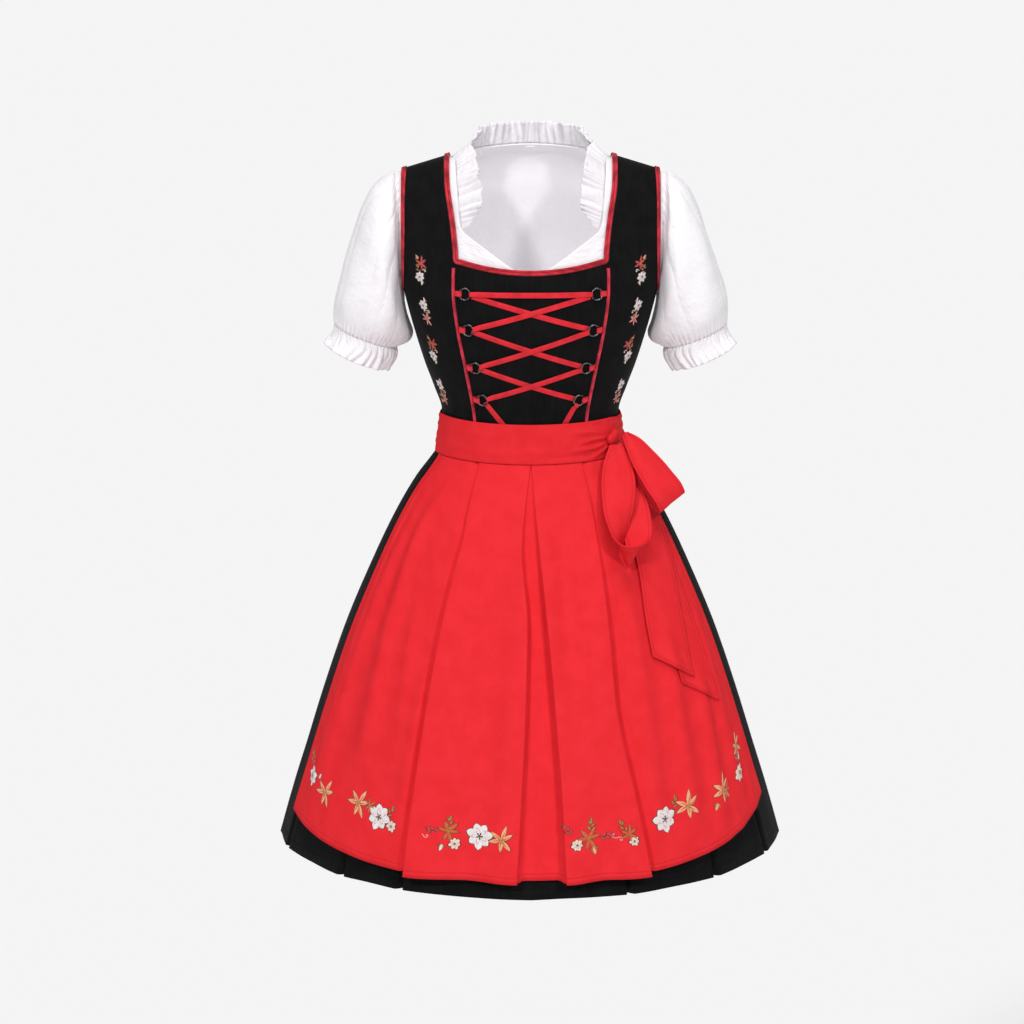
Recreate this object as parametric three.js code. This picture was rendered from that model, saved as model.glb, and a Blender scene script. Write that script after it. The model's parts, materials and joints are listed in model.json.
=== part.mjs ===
import * as THREE from 'three';

// A dirndl set as it is worn, with no wearer in it: a fitted bodice sewn to a pleated skirt, a short
// puff-sleeved blouse under it, and an apron whose ties make a bow at the wearer's left front.
// Millimetres. +Z is up, the front faces -Y, and the wearer's left is +X. The origin lies between the
// shoulders, at the height of the tops of the bodice's straps, where the wearer carries the set.

// ---------------------------------------------------------------- driving dimensions

const CLOTH = { bodice: 1.6, blouse: 0.9, skirt: 1.0, apron: 1.0, band: 1.3, ribbon: 0.8, binding: 1.2 };
const SEAM_GAP = 0.6;          // clear space between two pieces at a seam
const BLOUSE_UNDER = 3.6;      // how far the blouse lies inside the bodice's face

const SHOULDER_ROUND = 75;     // how far below the shoulder line the chest starts to round over
const SHOULDER_SLOPE = 0.31;
const SLOPE_FROM = -130;       // the slope of the shoulders fades out between these heights
const SLOPE_FULL = -50;
const STRAP_INNER = 124;       // strap edges at the shoulder line
const STRAP_OUTER = 186;
const BODICE_HEM = -400;
const UNDERARM = -190;         // the side seams end here, at the foot of the armholes
const NECKLINE = { centre: -158, corner: -143, corner_x: 110 };
const BACK_NECK = -75;
const BINDING_WIDTH = 7;
const ARMHOLE_BINDING_WIDTH = 7;
const PIPING = { width: 5, height: 3, top: -151.5 };
const TRIM_LIFT = 0.4;         // clear space under a binding or piping
const TRIM_OVER = 0.8;         // how far a binding reaches past the edge it covers
const BINDING_TILT = 0.2;      // how much an armhole binding rises across its width

const RING = { radius: 8.2, wire: 1.3, lift: 2.8 };
const TAB = { width: 7.5, thickness: 0.7, eye_clearance: 0.4, eye_stretch: 1.05 };
const LACE_WIDTH = 8;
const LACE_CLEARANCE = 0.5;    // clear space between a lace's end and its ring
const LACE_LIFT = { falling: 0.7, rising: 1.9, level: 3.1 };

const BLOUSE_HEM = -285;
const BLOUSE_ARMHOLE = 187;
const NECK_HALF_WIDTH = 110;
const BACK_NECK_RISE = 10;     // how far the blouse's back neck stands above the shoulder line
const FRILL_HEIGHT = 38;
const LABEL = { width: 13, thickness: 0.6 };
const FACING_GAP = { facing: 0.4, label: 1.2 };   // clear space outside the facing, and outside the label

const SKIRT_TOP = BODICE_HEM - SEAM_GAP;
const SKIRT_HEM = -1030;
const BAND = { top: -377, bottom: -435 };
const TIE = { top: -381, bottom: -429, inside: 3.4 };
const APRON_TOP = BAND.bottom - SEAM_GAP;
const APRON_HEM = -1000;

// The body form that the bodice is cut to, by height below the shoulder line.
const FORM = [
  { z: -400, half_width: 130, front: 98.5, back: 97, fullness: 2.0 },
  { z: -377, half_width: 130.5, front: 98, back: 96, fullness: 2.05 },
  { z: -340, half_width: 142, front: 104, back: 98, fullness: 2.1 },
  { z: -304, half_width: 155, front: 112, back: 101, fullness: 2.2 },
  { z: -265, half_width: 167, front: 120, back: 105, fullness: 2.25 },
  { z: -229, half_width: 177, front: 125, back: 108, fullness: 2.3 },
  { z: -193, half_width: 186, front: 123, back: 110, fullness: 2.3 },
  { z: -150, half_width: 197, front: 116, back: 110, fullness: 2.3 },
  { z: -100, half_width: 205, front: 105, back: 105, fullness: 2.3 },
  { z: -75, half_width: 206, front: 100, back: 100, fullness: 2.3 },
  { z: 0, half_width: 206, front: 100, back: 100, fullness: 2.3 },
];

// The skirt's face, an ellipse at each height.
const SKIRT = [
  { z: -400, half_width: 133, half_depth: 101 },
  { z: -420, half_width: 134.5, half_depth: 102 },
  { z: -436, half_width: 138, half_depth: 105 },
  { z: -450, half_width: 147, half_depth: 113 },
  { z: -481, half_width: 170, half_depth: 130 },
  { z: -541, half_width: 204, half_depth: 158 },
  { z: -623, half_width: 242, half_depth: 190 },
  { z: -709, half_width: 278, half_depth: 220 },
  { z: -802, half_width: 311, half_depth: 250 },
  { z: -891, half_width: 340, half_depth: 275 },
  { z: -972, half_width: 366, half_depth: 297 },
  { z: -1030, half_width: 382, half_depth: 310 },
];
const SKIRT_PLEATS = { left: [21, 44, 67, 99, 126, 153], right: [29, 45, 72, 99, 126, 153] };
const SKIRT_SEAM_ANGLE = 85.5;
const LOOSENESS = { waist: 0.5, hem: 2.6 };   // space between a pleat's layers
const PLEAT_RISE = 10;         // length over which a pleat's face climbs from under its neighbour

// Edges of the bodice's panels, by height: the princess seam up to the neckline, then the strap.
const PRINCESS = [
  { z: -400, x: 79 }, { z: -366, x: 82 }, { z: -295, x: 94 }, { z: -235, x: 105 },
  { z: -181, x: 111 }, { z: -160, x: 111 }, { z: -143, x: 110 }, { z: -105, x: 112.5 },
  { z: -70, x: 117 }, { z: -30, x: 122.5 }, { z: 0, x: 124 },
];
// The blouse's front neck edge: a shallow sweetheart that runs up under the straps.
const BLOUSE_NECK = [
  { z: -166, x: 0 }, { z: -151, x: 19 }, { z: -138, x: 38 }, { z: -123, x: 60 }, { z: -108, x: 84 },
  { z: -97, x: 98 }, { z: -88, x: 102 }, { z: -60, x: 105 }, { z: -25, x: 108 }, { z: 0, x: 110 },
];
const RINGS = [
  { name: 'ring_1', x: 94, z: -183 }, { name: 'ring_2', x: 89, z: -235 },
  { name: 'ring_3', x: 79, z: -292 }, { name: 'ring_4', x: 69, z: -342 },
];
const LACE_END = { right: -30, left: 42, z: -392 };

// The sleeve from the armhole to the cuff: the top and the underarm of each section, on the wearer's left.
const SLEEVE = [
  { top_x: 203, top_z: -25, under_x: 190, under_z: -212, half_depth: 65 },
  { top_x: 226, top_z: -42, under_x: 186, under_z: -238, half_depth: 74 },
  { top_x: 243, top_z: -72, under_x: 181, under_z: -253, half_depth: 78 },
  { top_x: 259, top_z: -116, under_x: 178, under_z: -261, half_depth: 78 },
  { top_x: 275, top_z: -163, under_x: 180, under_z: -268, half_depth: 75 },
  { top_x: 288, top_z: -215, under_x: 186, under_z: -274, half_depth: 66 },
  { top_x: 287, top_z: -247, under_x: 197, under_z: -281, half_depth: 50 },
];
const CUFF_FRILL = { top_x: 302, top_z: -279, under_x: 204, under_z: -316, half_depth: 57, waves: 24, depth: 4 };
const NECK_FRILL = { waves: 30, depth: 4.2, end_height: 0.35 };

// The edges of the apron's pleats, as angles round the skirt by height.
const APRON_PLEATS = [
  { z: -436, right_knife: -31.2, box_right: -0.5, box_left: 0.9, left_knife: 31 },
  { z: -490, right_knife: -28.4, box_right: -2.8, box_left: 2.3, left_knife: 28 },
  { z: -540, right_knife: -26.8, box_right: -3.6, box_left: 3.5, left_knife: 25.9 },
  { z: -646, right_knife: -27.3, box_right: -1.3, box_left: 5.4, left_knife: 23.4 },
  { z: -757, right_knife: -28.2, box_right: -1.6, box_left: 6.6, left_knife: 22 },
  { z: -880, right_knife: -29.1, box_right: -2.4, box_left: 7.4, left_knife: 23.9 },
  { z: -1000, right_knife: -30, box_right: -3.2, box_left: 7.7, left_knife: 25.5 },
];
const APRON_SIDE_ANGLE = 70;
const APRON_CORNER_LIFT = { right: 36, left: 61 };
const APRON_CLEAR = { top: 1.7, hem: 3.2 };      // clear space between the skirt and the apron's underlays

// The bow: each loop runs out from the knot and back to it, and each tail hangs from under it.
const KNOT = { angle: 56.5, z: -404, half_width: 8.5, half_height: 9, round: 2, depth: 8, lift: 1.3 };
// The ribbon's edges round the front loop: the one nearer to the viewer, and the one behind it.
const FRONT_LOOP = [
  { near: [117, -75, -416], far: [129, -70, -416] }, { near: [107, -92, -434], far: [144, -79, -431] },
  { near: [103, -112, -455], far: [151, -92, -453] }, { near: [103, -132, -477], far: [152, -111, -471] },
  { near: [106, -152, -499], far: [149, -125, -492] }, { near: [115, -168, -518], far: [144, -132, -517] },
  { near: [127, -178, -531], far: [140, -137, -542] }, { near: [142, -181, -537], far: [144, -153, -575] },
  { near: [160, -171, -539], far: [148, -147, -569] }, { near: [174, -144, -536], far: [138, -143, -548] },
  { near: [176, -124, -523], far: [128, -134, -521] }, { near: [171, -101, -497], far: [124, -116, -490] },
  { near: [159, -79, -467], far: [122, -96, -462] }, { near: [146, -56, -441], far: [124, -76, -438] },
  { near: [136, -52, -421], far: [126, -65, -418] },
];
const SIDE_LOOP = {
  route: [
    { x: 135.5, y: -54.5, z: -401 }, { x: 145, y: -64, z: -412 }, { x: 161, y: -75, z: -435 },
    { x: 184, y: -84, z: -467 }, { x: 206, y: -90, z: -496 },
  ],
  across: { x: 0.73, y: 0.57, z: 0.37 },
  rows: [
    { along: 0.02, gap: 3, half_width: 5 }, { along: 0.14, gap: 6, half_width: 12 },
    { along: 0.4, gap: 8, half_width: 21 }, { along: 0.7, gap: 8, half_width: 26 },
    { along: 0.93, gap: 6, half_width: 27 }, { along: 1, gap: 0, half_width: 27 },
    { along: 0.93, gap: -6, half_width: 27 }, { along: 0.7, gap: -8, half_width: 26 },
    { along: 0.4, gap: -8, half_width: 20 }, { along: 0.14, gap: -5, half_width: 11 },
    { along: 0.02, gap: -2, half_width: 4 },
  ],
};
const FRONT_TAIL = [
  { z: -416, angle: 55, half_width: 5 }, { z: -455, angle: 54, half_width: 18 },
  { z: -520, angle: 52.5, half_width: 30 }, { z: -580, angle: 50.3, half_width: 33 },
  { z: -650, angle: 46.3, half_width: 34 }, { z: -721, angle: 44, half_width: 33 },
];
const SIDE_TAIL = [
  { z: -416, angle: 60, half_width: 5 }, { z: -455, angle: 63, half_width: 16 },
  { z: -520, angle: 58, half_width: 26 }, { z: -600, angle: 53, half_width: 31 },
  { z: -700, angle: 52.3, half_width: 32 }, { z: -765, angle: 52.5, half_width: 32 },
];
const TAIL_LIFT = { side: 2.2, front: 5.6 };
const TAIL_CUT = { slant: 20, from: 0.8 };   // the slant cut of a tail's end, and the share where it starts

const SIDES = [{ name: 'left', sign: 1 }, { name: 'right', sign: -1 }];

// ---------------------------------------------------------------- finishes

function finish(color, roughness, metalness = 0) {
  return () => new THREE.MeshStandardMaterial({ color, roughness, metalness });
}
const FINISH = {
  black: finish(0x17171a, 0.85),
  red: finish(0xe02430, 0.62),
  trim: finish(0xc8323c, 0.55),
  white: finish(0xf1eff6, 0.9),
  silver: finish(0x8c8e92, 0.3, 1),
};

// ---------------------------------------------------------------- small tools

const radians = THREE.MathUtils.degToRad;
const lerp = THREE.MathUtils.lerp;

/** A smooth curve through one column of a table, with no overshoot between its rows. */
function curve(rows, column, along = 'z') {
  const points = rows.map((row) => [row[along], row[column]]).sort((a, b) => a[0] - b[0]);
  const rise = points.slice(1).map((p, i) => (p[1] - points[i][1]) / (p[0] - points[i][0]));
  const slope = points.map((_, i) => {
    if (i === 0) return rise[0];
    if (i === rise.length) return rise[i - 1];
    const product = rise[i - 1] * rise[i];
    return product > 0 ? (2 * product) / (rise[i - 1] + rise[i]) : 0;
  });
  return (at) => {
    const t = THREE.MathUtils.clamp(at, points[0][0], points[points.length - 1][0]);
    let i = 0;
    while (i < rise.length - 1 && t > points[i + 1][0]) i += 1;
    const span = points[i + 1][0] - points[i][0];
    const s = (t - points[i][0]) / span;
    const [a, b] = [points[i][1], points[i + 1][1]];
    const h = s * s * (3 - 2 * s);
    return a + (b - a) * h + span * (slope[i] * s * (1 - s) * (1 - s) - slope[i + 1] * s * s * (1 - s));
  };
}

/** Evenly spaced numbers from a to b. */
function steps(a, b, count) {
  return Array.from({ length: count + 1 }, (_, i) => lerp(a, b, i / count));
}

/** A closed solid from an outer and an inner grid of points. A ring joins its last column to its first. */
function wall(outer, inner, ring = false) {
  const columns = outer.length;
  const rows = outer[0].length;
  const points = [...outer.flat(), ...inner.flat()];
  const half = columns * rows;
  const at = (i, j, side) => side * half + (i % columns) * rows + j;
  const index = [];
  const quad = (a, b, c, d) => index.push(a, b, c, a, c, d);
  const spans = ring ? columns : columns - 1;
  for (let i = 0; i < spans; i += 1) {
    for (let j = 0; j < rows - 1; j += 1) {
      quad(at(i, j, 0), at(i + 1, j, 0), at(i + 1, j + 1, 0), at(i, j + 1, 0));
      quad(at(i, j, 1), at(i, j + 1, 1), at(i + 1, j + 1, 1), at(i + 1, j, 1));
    }
    quad(at(i, 0, 0), at(i, 0, 1), at(i + 1, 0, 1), at(i + 1, 0, 0));
    quad(at(i, rows - 1, 0), at(i + 1, rows - 1, 0), at(i + 1, rows - 1, 1), at(i, rows - 1, 1));
  }
  if (!ring) {
    for (let j = 0; j < rows - 1; j += 1) {
      quad(at(0, j, 0), at(0, j + 1, 0), at(0, j + 1, 1), at(0, j, 1));
      quad(at(columns - 1, j, 0), at(columns - 1, j, 1), at(columns - 1, j + 1, 1), at(columns - 1, j + 1, 0));
    }
  }
  return solid(points, index);
}

/** A geometry from points and triangles, turned so that its faces point out. */
function solid(points, index) {
  let volume = 0;
  for (let k = 0; k < index.length; k += 3) {
    const [a, b, c] = [points[index[k]], points[index[k + 1]], points[index[k + 2]]];
    volume += a.dot(new THREE.Vector3().crossVectors(b, c));
  }
  if (volume < 0) index.reverse();
  const geometry = new THREE.BufferGeometry().setFromPoints(points);
  geometry.setIndex(index);
  return geometry;
}

/** Normals of a grid of points, from its neighbours. */
function gridNormals(grid, ring) {
  const columns = grid.length;
  const rows = grid[0].length;
  return grid.map((column, i) => column.map((_, j) => {
    const before = ring ? (i + columns - 1) % columns : Math.max(i - 1, 0);
    const after = ring ? (i + 1) % columns : Math.min(i + 1, columns - 1);
    const across = grid[after][j].clone().sub(grid[before][j]);
    const along = column[Math.min(j + 1, rows - 1)].clone().sub(column[Math.max(j - 1, 0)]);
    return across.cross(along).normalize();
  }));
}

/** A wall of one thickness under a grid of points; side says which way the wall grows from the grid. */
function shell(grid, thickness, side = 1, ring = false) {
  const normals = gridNormals(grid, ring);
  const inner = grid.map((column, i) => column.map((p, j) => p.clone().addScaledVector(normals[i][j], -side * thickness)));
  return wall(grid, inner, ring);
}

/** A flat ribbon along a rail of points with normals: it spans from one offset across to another. */
function ribbon(rail, { from, to, lift, thickness, tilt = 0, ring = false }) {
  const count = rail.length;
  const across = rail.map((place, i) => {
    const before = rail[ring ? (i + count - 1) % count : Math.max(i - 1, 0)].point;
    const after = rail[ring ? (i + 1) % count : Math.min(i + 1, count - 1)].point;
    return new THREE.Vector3().crossVectors(after.clone().sub(before), place.normal).normalize();
  });
  const layer = (height) => rail.map((place, i) => [from, to].map((offset) => place.point.clone()
    .addScaledVector(across[i], offset)
    .addScaledVector(place.normal, height + tilt * Math.abs(offset))));
  return wall(layer(lift + thickness), layer(lift), ring);
}

const garment = new THREE.Group();

/** Adds one named piece to the garment. */
function piece(name, geometry, material) {
  const mesh = new THREE.Mesh(geometry, material());
  mesh.name = name;
  garment.add(mesh);
  return mesh;
}

// ---------------------------------------------------------------- the bodice's form

const formWidth = curve(FORM, 'half_width');
const formFront = curve(FORM, 'front');
const formBack = curve(FORM, 'back');
const formFullness = curve(FORM, 'fullness');
const SHOULDER_TURN = -SHOULDER_ROUND + (SHOULDER_ROUND * Math.PI) / 2;
const BACK_START = -SHOULDER_ROUND + SHOULDER_ROUND * Math.PI;

/** How far a panel reaches sideways at a height: to the side seam, or to the armhole above the underarm. */
function reachAt(level, armhole) {
  return Math.min(formWidth(level), armhole);
}

/** The girth coordinate runs from the front hem over the shoulder to the back hem. */
function girth(level, back = false) {
  let front = level;
  if (level > -SHOULDER_ROUND) {
    front = -SHOULDER_ROUND + SHOULDER_ROUND * Math.asin(Math.min(1, 1 + level / SHOULDER_ROUND));
  }
  return back ? 2 * SHOULDER_TURN - front : front;
}

/** Depth and level below the shoulder line at a girth coordinate. */
function profile(q) {
  if (q <= -SHOULDER_ROUND) return { level: q, depth: -formFront(q) };
  if (q >= BACK_START) {
    const level = -SHOULDER_ROUND - (q - BACK_START);
    return { level, depth: formBack(level) };
  }
  const turn = (q + SHOULDER_ROUND) / SHOULDER_ROUND;
  const level = -SHOULDER_ROUND + SHOULDER_ROUND * Math.sin(turn);
  return { level, depth: -formFront(-SHOULDER_ROUND) * Math.cos(turn) };
}

/** A point of the form: share runs from 0 at the centre to 1 at the side seam or the armhole. */
function formFace(share, q, armhole) {
  const { level, depth } = profile(q);
  const width = formWidth(level);
  const power = formFullness(level);
  const x = Math.sign(share) * reachAt(level, armhole) * Math.pow(Math.abs(share), 2 / power);
  const y = depth * Math.pow(Math.max(0, 1 - Math.pow(Math.abs(x) / width, power)), 1 / power);
  const fade = THREE.MathUtils.smoothstep(level, SLOPE_FROM, SLOPE_FULL);
  return new THREE.Vector3(x, y, level + fade * SHOULDER_SLOPE * (STRAP_INNER - Math.abs(x)));
}

/** The same point with its outward normal. */
function formPlace(share, q, armhole = STRAP_OUTER) {
  const small = 1e-3;
  const along = formFace(share, q + small * 100, armhole).sub(formFace(share, q - small * 100, armhole));
  const high = Math.min(1, share + small);
  const low = Math.max(-1, share - small);
  const across = formFace(high, q, armhole).sub(formFace(low, q, armhole));
  const point = formFace(share, q, armhole);
  const normal = across.cross(along).normalize();
  const outward = point.clone().sub(new THREE.Vector3(0, 0, Math.min(point.z, -120)));
  if (normal.dot(outward) < 0) normal.negate();
  return { point, normal };
}

/** A place given by its distance from the centre line. */
function formAt(x, q, armhole = STRAP_OUTER) {
  const { level } = profile(q);
  const share = Math.pow(Math.min(1, Math.abs(x) / reachAt(level, armhole)), formFullness(level) / 2);
  return formPlace(Math.sign(x) * share, q, armhole);
}

function lifted({ point, normal }, lift) {
  return point.clone().addScaledVector(normal, lift);
}

/** A panel between an inner edge and the side, row by row of level, on the front or the back. */
function sidePanel({ sign, back, levels, innerEdge, armhole, columns, lift, thickness }) {
  const grid = (height) => steps(0, 1, columns).map((s) => levels.map((level) => {
    const reach = reachAt(level, armhole);
    const power = formFullness(level);
    const first = Math.asin(Math.min(1, Math.pow(innerEdge(level) / reach, power / 2)));
    const last = Math.PI / 2 - (level < UNDERARM ? SEAM_GAP / 2 / formFront(level) : 0);
    const q = girth(Math.min(level, -SEAM_GAP / 400), back);
    return lifted(formPlace(sign * Math.sin(lerp(first, last, s)), q, armhole), height);
  }));
  return wall(grid(lift), grid(lift - thickness));
}

// ---------------------------------------------------------------- bodice

const princessEdge = curve(PRINCESS, 'x');

function necklineHeight(x) {
  return lerp(NECKLINE.centre, NECKLINE.corner, (x / NECKLINE.corner_x) ** 2);
}

function bodiceFront() {
  const levels = [-400, -388, -372, -352, -330, -304, -265, -225, -185, NECKLINE.centre];
  const grid = (height) => steps(-1, 1, 10).map((s) => levels.map((level) => {
    const rise = THREE.MathUtils.smoothstep(level, -200, NECKLINE.centre);
    const at = level + rise * (necklineHeight(s * NECKLINE.corner_x) - NECKLINE.centre);
    return lifted(formAt(s * (princessEdge(at) - SEAM_GAP), at), height);
  }));
  return wall(grid(0), grid(-CLOTH.bodice));
}

const BODY_LEVELS = [-400, -385, -365, -340, -304, -265, -229, -205, -193];
const ARMHOLE_LEVELS = [-186, -172, -158, NECKLINE.corner, -122, -100, -75, -50, -26, -10, 0];
const SIDE_LEVELS = [...BODY_LEVELS, ...ARMHOLE_LEVELS];

/** The back neck edge of the bodice, a round scoop between the straps. */
function backNeckEdge(level) {
  return level <= BACK_NECK ? SEAM_GAP / 2 : STRAP_INNER * Math.sqrt(1 - (level / BACK_NECK) ** 2);
}

const BACK_LEVELS = [...BODY_LEVELS, -186, -172, -150, -120, -90, -75, -72, -64, -50, -26, -10, 0];

function buildBodice() {
  piece('bodice_front', bodiceFront(), FINISH.black);
  for (const { name, sign } of SIDES) {
    const shared = { sign, armhole: STRAP_OUTER, lift: 0, thickness: CLOTH.bodice };
    piece(`bodice_side_${name}`, sidePanel({
      ...shared, back: false, levels: SIDE_LEVELS, innerEdge: princessEdge, columns: 5,
    }), FINISH.black);
    piece(`bodice_back_${name}`, sidePanel({
      ...shared, back: true, levels: BACK_LEVELS, innerEdge: backNeckEdge, columns: 6,
    }), FINISH.black);
  }
}

/** The neckline's edge, once round: across the front, over one shoulder, round the back and back again. */
function necklineRail() {
  const half = [];
  for (const share of [0, 0.2, 0.4, 0.6, 0.8]) {
    const x = share * NECKLINE.corner_x;
    half.push(formAt(x, necklineHeight(x)));
  }
  const strap = SIDE_LEVELS.filter((level) => level >= NECKLINE.corner && level < 0);
  for (const level of strap) half.push(formAt(princessEdge(level), girth(level)));
  half.push(formAt(STRAP_INNER, SHOULDER_TURN));
  const scoop = BACK_LEVELS.filter((level) => level > BACK_NECK && level < 0).reverse();
  for (const level of scoop) half.push(formAt(backNeckEdge(level), girth(level, true)));
  half.push(formAt(0, girth(BACK_NECK, true)));
  const mirrored = half.slice(1, -1).reverse().map(({ point, normal }) => ({
    point: point.clone().setX(-point.x), normal: normal.clone().setX(-normal.x),
  }));
  return [...half, ...mirrored];
}

/** The bodice's armhole edge, once round, through the ends of its panels' rows. */
function armholeEdge(sign) {
  const front = SIDE_LEVELS.filter((level) => level > -193 && level < 0).reverse();
  const back = BACK_LEVELS.filter((level) => level > -193 && level < 0 && (level <= -75 || level >= -50));
  return [
    formPlace(sign, SHOULDER_TURN),
    ...front.map((level) => formPlace(sign, girth(level))),
    formPlace(sign, -193),
    ...back.map((level) => formPlace(sign, girth(level, true))),
  ];
}

/** An armhole's edge in even steps, from the shoulder down the front, under the arm and up the back. */
function armholeRail(sign, armhole, count) {
  const underarm = armholeFloor(armhole);
  return steps(0, 2 * Math.PI, count).slice(0, count).map((turn) => {
    const q = lerp(SHOULDER_TURN, girth(underarm), (1 - Math.cos(turn)) / 2);
    return formPlace(sign, turn <= Math.PI ? q : 2 * SHOULDER_TURN - q, armhole);
  });
}

/** The level at which the form is as wide as the armhole's plane. */
function armholeFloor(armhole) {
  let [low, high] = [-265, -100];
  for (let i = 0; i < 40; i += 1) {
    const middle = (low + high) / 2;
    if (formWidth(middle) < armhole) low = middle;
    else high = middle;
  }
  return high;
}

/** A low cord with a flat underside and a round back, laid along a rail. */
function cord(rail, width, height, lift) {
  const section = steps(0, Math.PI, 3).map((turn) => [(-Math.cos(turn) * width) / 2, Math.sin(turn) * height]);
  const around = section.length;
  const points = rail.flatMap((place, i) => {
    const before = rail[Math.max(i - 1, 0)].point;
    const after = rail[Math.min(i + 1, rail.length - 1)].point;
    const across = new THREE.Vector3().crossVectors(after.clone().sub(before), place.normal).normalize();
    return section.map(([a, b]) => place.point.clone()
      .addScaledVector(across, a).addScaledVector(place.normal, lift + b));
  });
  const index = [];
  for (let i = 0; i < rail.length - 1; i += 1) {
    for (let k = 0; k < around; k += 1) {
      const next = (k + 1) % around;
      const [a, b, c, d] = [i * around + k, (i + 1) * around + k, (i + 1) * around + next, i * around + next];
      index.push(a, b, c, a, c, d);
    }
  }
  const end = points.length - around;
  for (let k = 1; k < around - 1; k += 1) {
    index.push(0, k, k + 1, end, end + k + 1, end + k);
  }
  return solid(points, index);
}

function buildTrims() {
  piece('neckline_binding', ribbon(necklineRail(), {
    from: -BINDING_WIDTH, to: TRIM_OVER, lift: TRIM_LIFT, thickness: CLOTH.binding, ring: true,
  }), FINISH.trim);
  for (const { name, sign } of SIDES) {
    const inward = sign > 0
      ? { from: -TRIM_OVER, to: ARMHOLE_BINDING_WIDTH }
      : { from: -ARMHOLE_BINDING_WIDTH, to: TRIM_OVER };
    piece(`armhole_binding_${name}`, ribbon(armholeEdge(sign), {
      ...inward, lift: TRIM_LIFT, thickness: CLOTH.binding, tilt: BINDING_TILT, ring: true,
    }), FINISH.trim);
    const levels = [-399, -385, -365, -340, -304, -265, -229, -205, -185, -160, PIPING.top];
    const rail = levels.map((level) => formAt(sign * princessEdge(level), level));
    piece(`piping_${name}`, cord(rail, PIPING.width, PIPING.height, TRIM_LIFT), FINISH.trim);
  }
}

// ---------------------------------------------------------------- rings, tabs and lacing

function ringGeometry() {
  const section = steps(0, 2 * Math.PI, 6).map((turn) => new THREE.Vector2(
    RING.radius + RING.wire * Math.cos(turn), RING.wire * Math.sin(turn)));
  section[section.length - 1].copy(section[0]);
  return new THREE.LatheGeometry(section, 14);
}

/** A folded tab with its eye round the ring's wire. The ring's centre is the origin, the seam is along +X. */
function tabGeometry(reach, drop) {
  const inside = RING.wire + TAB.eye_clearance;
  const outside = inside + TAB.thickness;
  const inner = RING.radius - TAB.eye_stretch;
  const outer = RING.radius + 1;
  const end = drop - outside;
  const shape = new THREE.Shape();
  shape.moveTo(reach, end);
  shape.lineTo(reach, end + 2 * TAB.thickness);
  shape.lineTo(outer + 0.4, outside);
  shape.absarc(inner, 0, outside, Math.PI / 2, (3 * Math.PI) / 2, false);
  shape.closePath();
  const hole = new THREE.Path();
  hole.moveTo(reach - 1.6, end + TAB.thickness);
  hole.lineTo(outer, inside);
  hole.absarc(inner, 0, inside, Math.PI / 2, (3 * Math.PI) / 2, false);
  hole.closePath();
  shape.holes.push(hole);
  const geometry = new THREE.ExtrudeGeometry(shape, { depth: TAB.width, bevelEnabled: false, curveSegments: 4 });
  return geometry.translate(0, 0, -TAB.width / 2);
}

/** Stands a geometry on the bodice: its X runs along the cloth, its Y along the cloth's normal. */
function placeOn(mesh, { point, normal }, along) {
  const x = along.clone().addScaledVector(normal, -along.dot(normal)).normalize();
  const frame = new THREE.Matrix4().makeBasis(x, normal, new THREE.Vector3().crossVectors(x, normal));
  mesh.applyMatrix4(frame.setPosition(point));
}

function buildRings() {
  for (const { name, sign } of SIDES) {
    for (const row of RINGS) {
      const seat = formAt(sign * row.x, row.z);
      const centre = { point: lifted(seat, RING.lift), normal: seat.normal };
      const ring = piece(`${row.name}_${name}`, ringGeometry(), FINISH.silver);
      const seam = formAt(sign * (princessEdge(row.z) - PIPING.width / 2 - TRIM_LIFT), row.z);
      const toSeam = seam.point.clone().sub(seat.point);
      placeOn(ring, centre, toSeam);
      const drop = toSeam.dot(seat.normal);
      const reach = Math.sqrt(toSeam.lengthSq() - drop * drop);
      const tab = piece(`${row.name.replace('ring', 'tab')}_${name}`, tabGeometry(reach, drop), FINISH.trim);
      placeOn(tab, centre, toSeam);
    }
  }
}

/** A lace from one point of the front to another, clear of the rings at its ends. */
function lace(from, to, lift, clearance) {
  const start = new THREE.Vector2(from.x, from.z);
  const end = new THREE.Vector2(to.x, to.z);
  const way = end.clone().sub(start);
  const unit = way.clone().normalize();
  start.addScaledVector(unit, clearance.from);
  end.addScaledVector(unit, -clearance.to);
  const rail = steps(0, 1, 8).map((s) => formAt(lerp(start.x, end.x, s), lerp(start.y, end.y, s)));
  const half = LACE_WIDTH / 2;
  return ribbon(rail, { from: -half, to: half, lift, thickness: CLOTH.ribbon });
}

function buildLacing() {
  const clear = RING.radius + RING.wire + LACE_CLEARANCE;
  const both = { from: clear, to: clear };
  const seat = (row, sign) => ({ x: sign * row.x, z: row.z });
  piece('lace_level', lace(seat(RINGS[0], -1), seat(RINGS[0], 1), LACE_LIFT.level, both), FINISH.red);
  for (let i = 0; i < RINGS.length - 1; i += 1) {
    const [upper, lower] = [RINGS[i], RINGS[i + 1]];
    piece(`lace_falling_${i + 1}`, lace(seat(upper, -1), seat(lower, 1), LACE_LIFT.falling, both), FINISH.red);
    piece(`lace_rising_${i + 1}`, lace(seat(lower, -1), seat(upper, 1), LACE_LIFT.rising, both), FINISH.red);
  }
  const foot = RINGS[RINGS.length - 1];
  const single = { from: clear, to: 0 };
  for (const { name, sign } of SIDES) {
    const end = { x: LACE_END[name], z: LACE_END.z };
    piece(`lace_end_${name}`, lace(seat(foot, sign), end, LACE_LIFT.falling, single), FINISH.red);
  }
}

// ---------------------------------------------------------------- blouse

const BLOUSE_LEVELS = [-285, -240, -205, -189, -180, -166, -151, -138, -123, -108, -97, -88, -60, -26, -8, 0];
const blouseNeckEdge = curve(BLOUSE_NECK, 'x');

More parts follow.
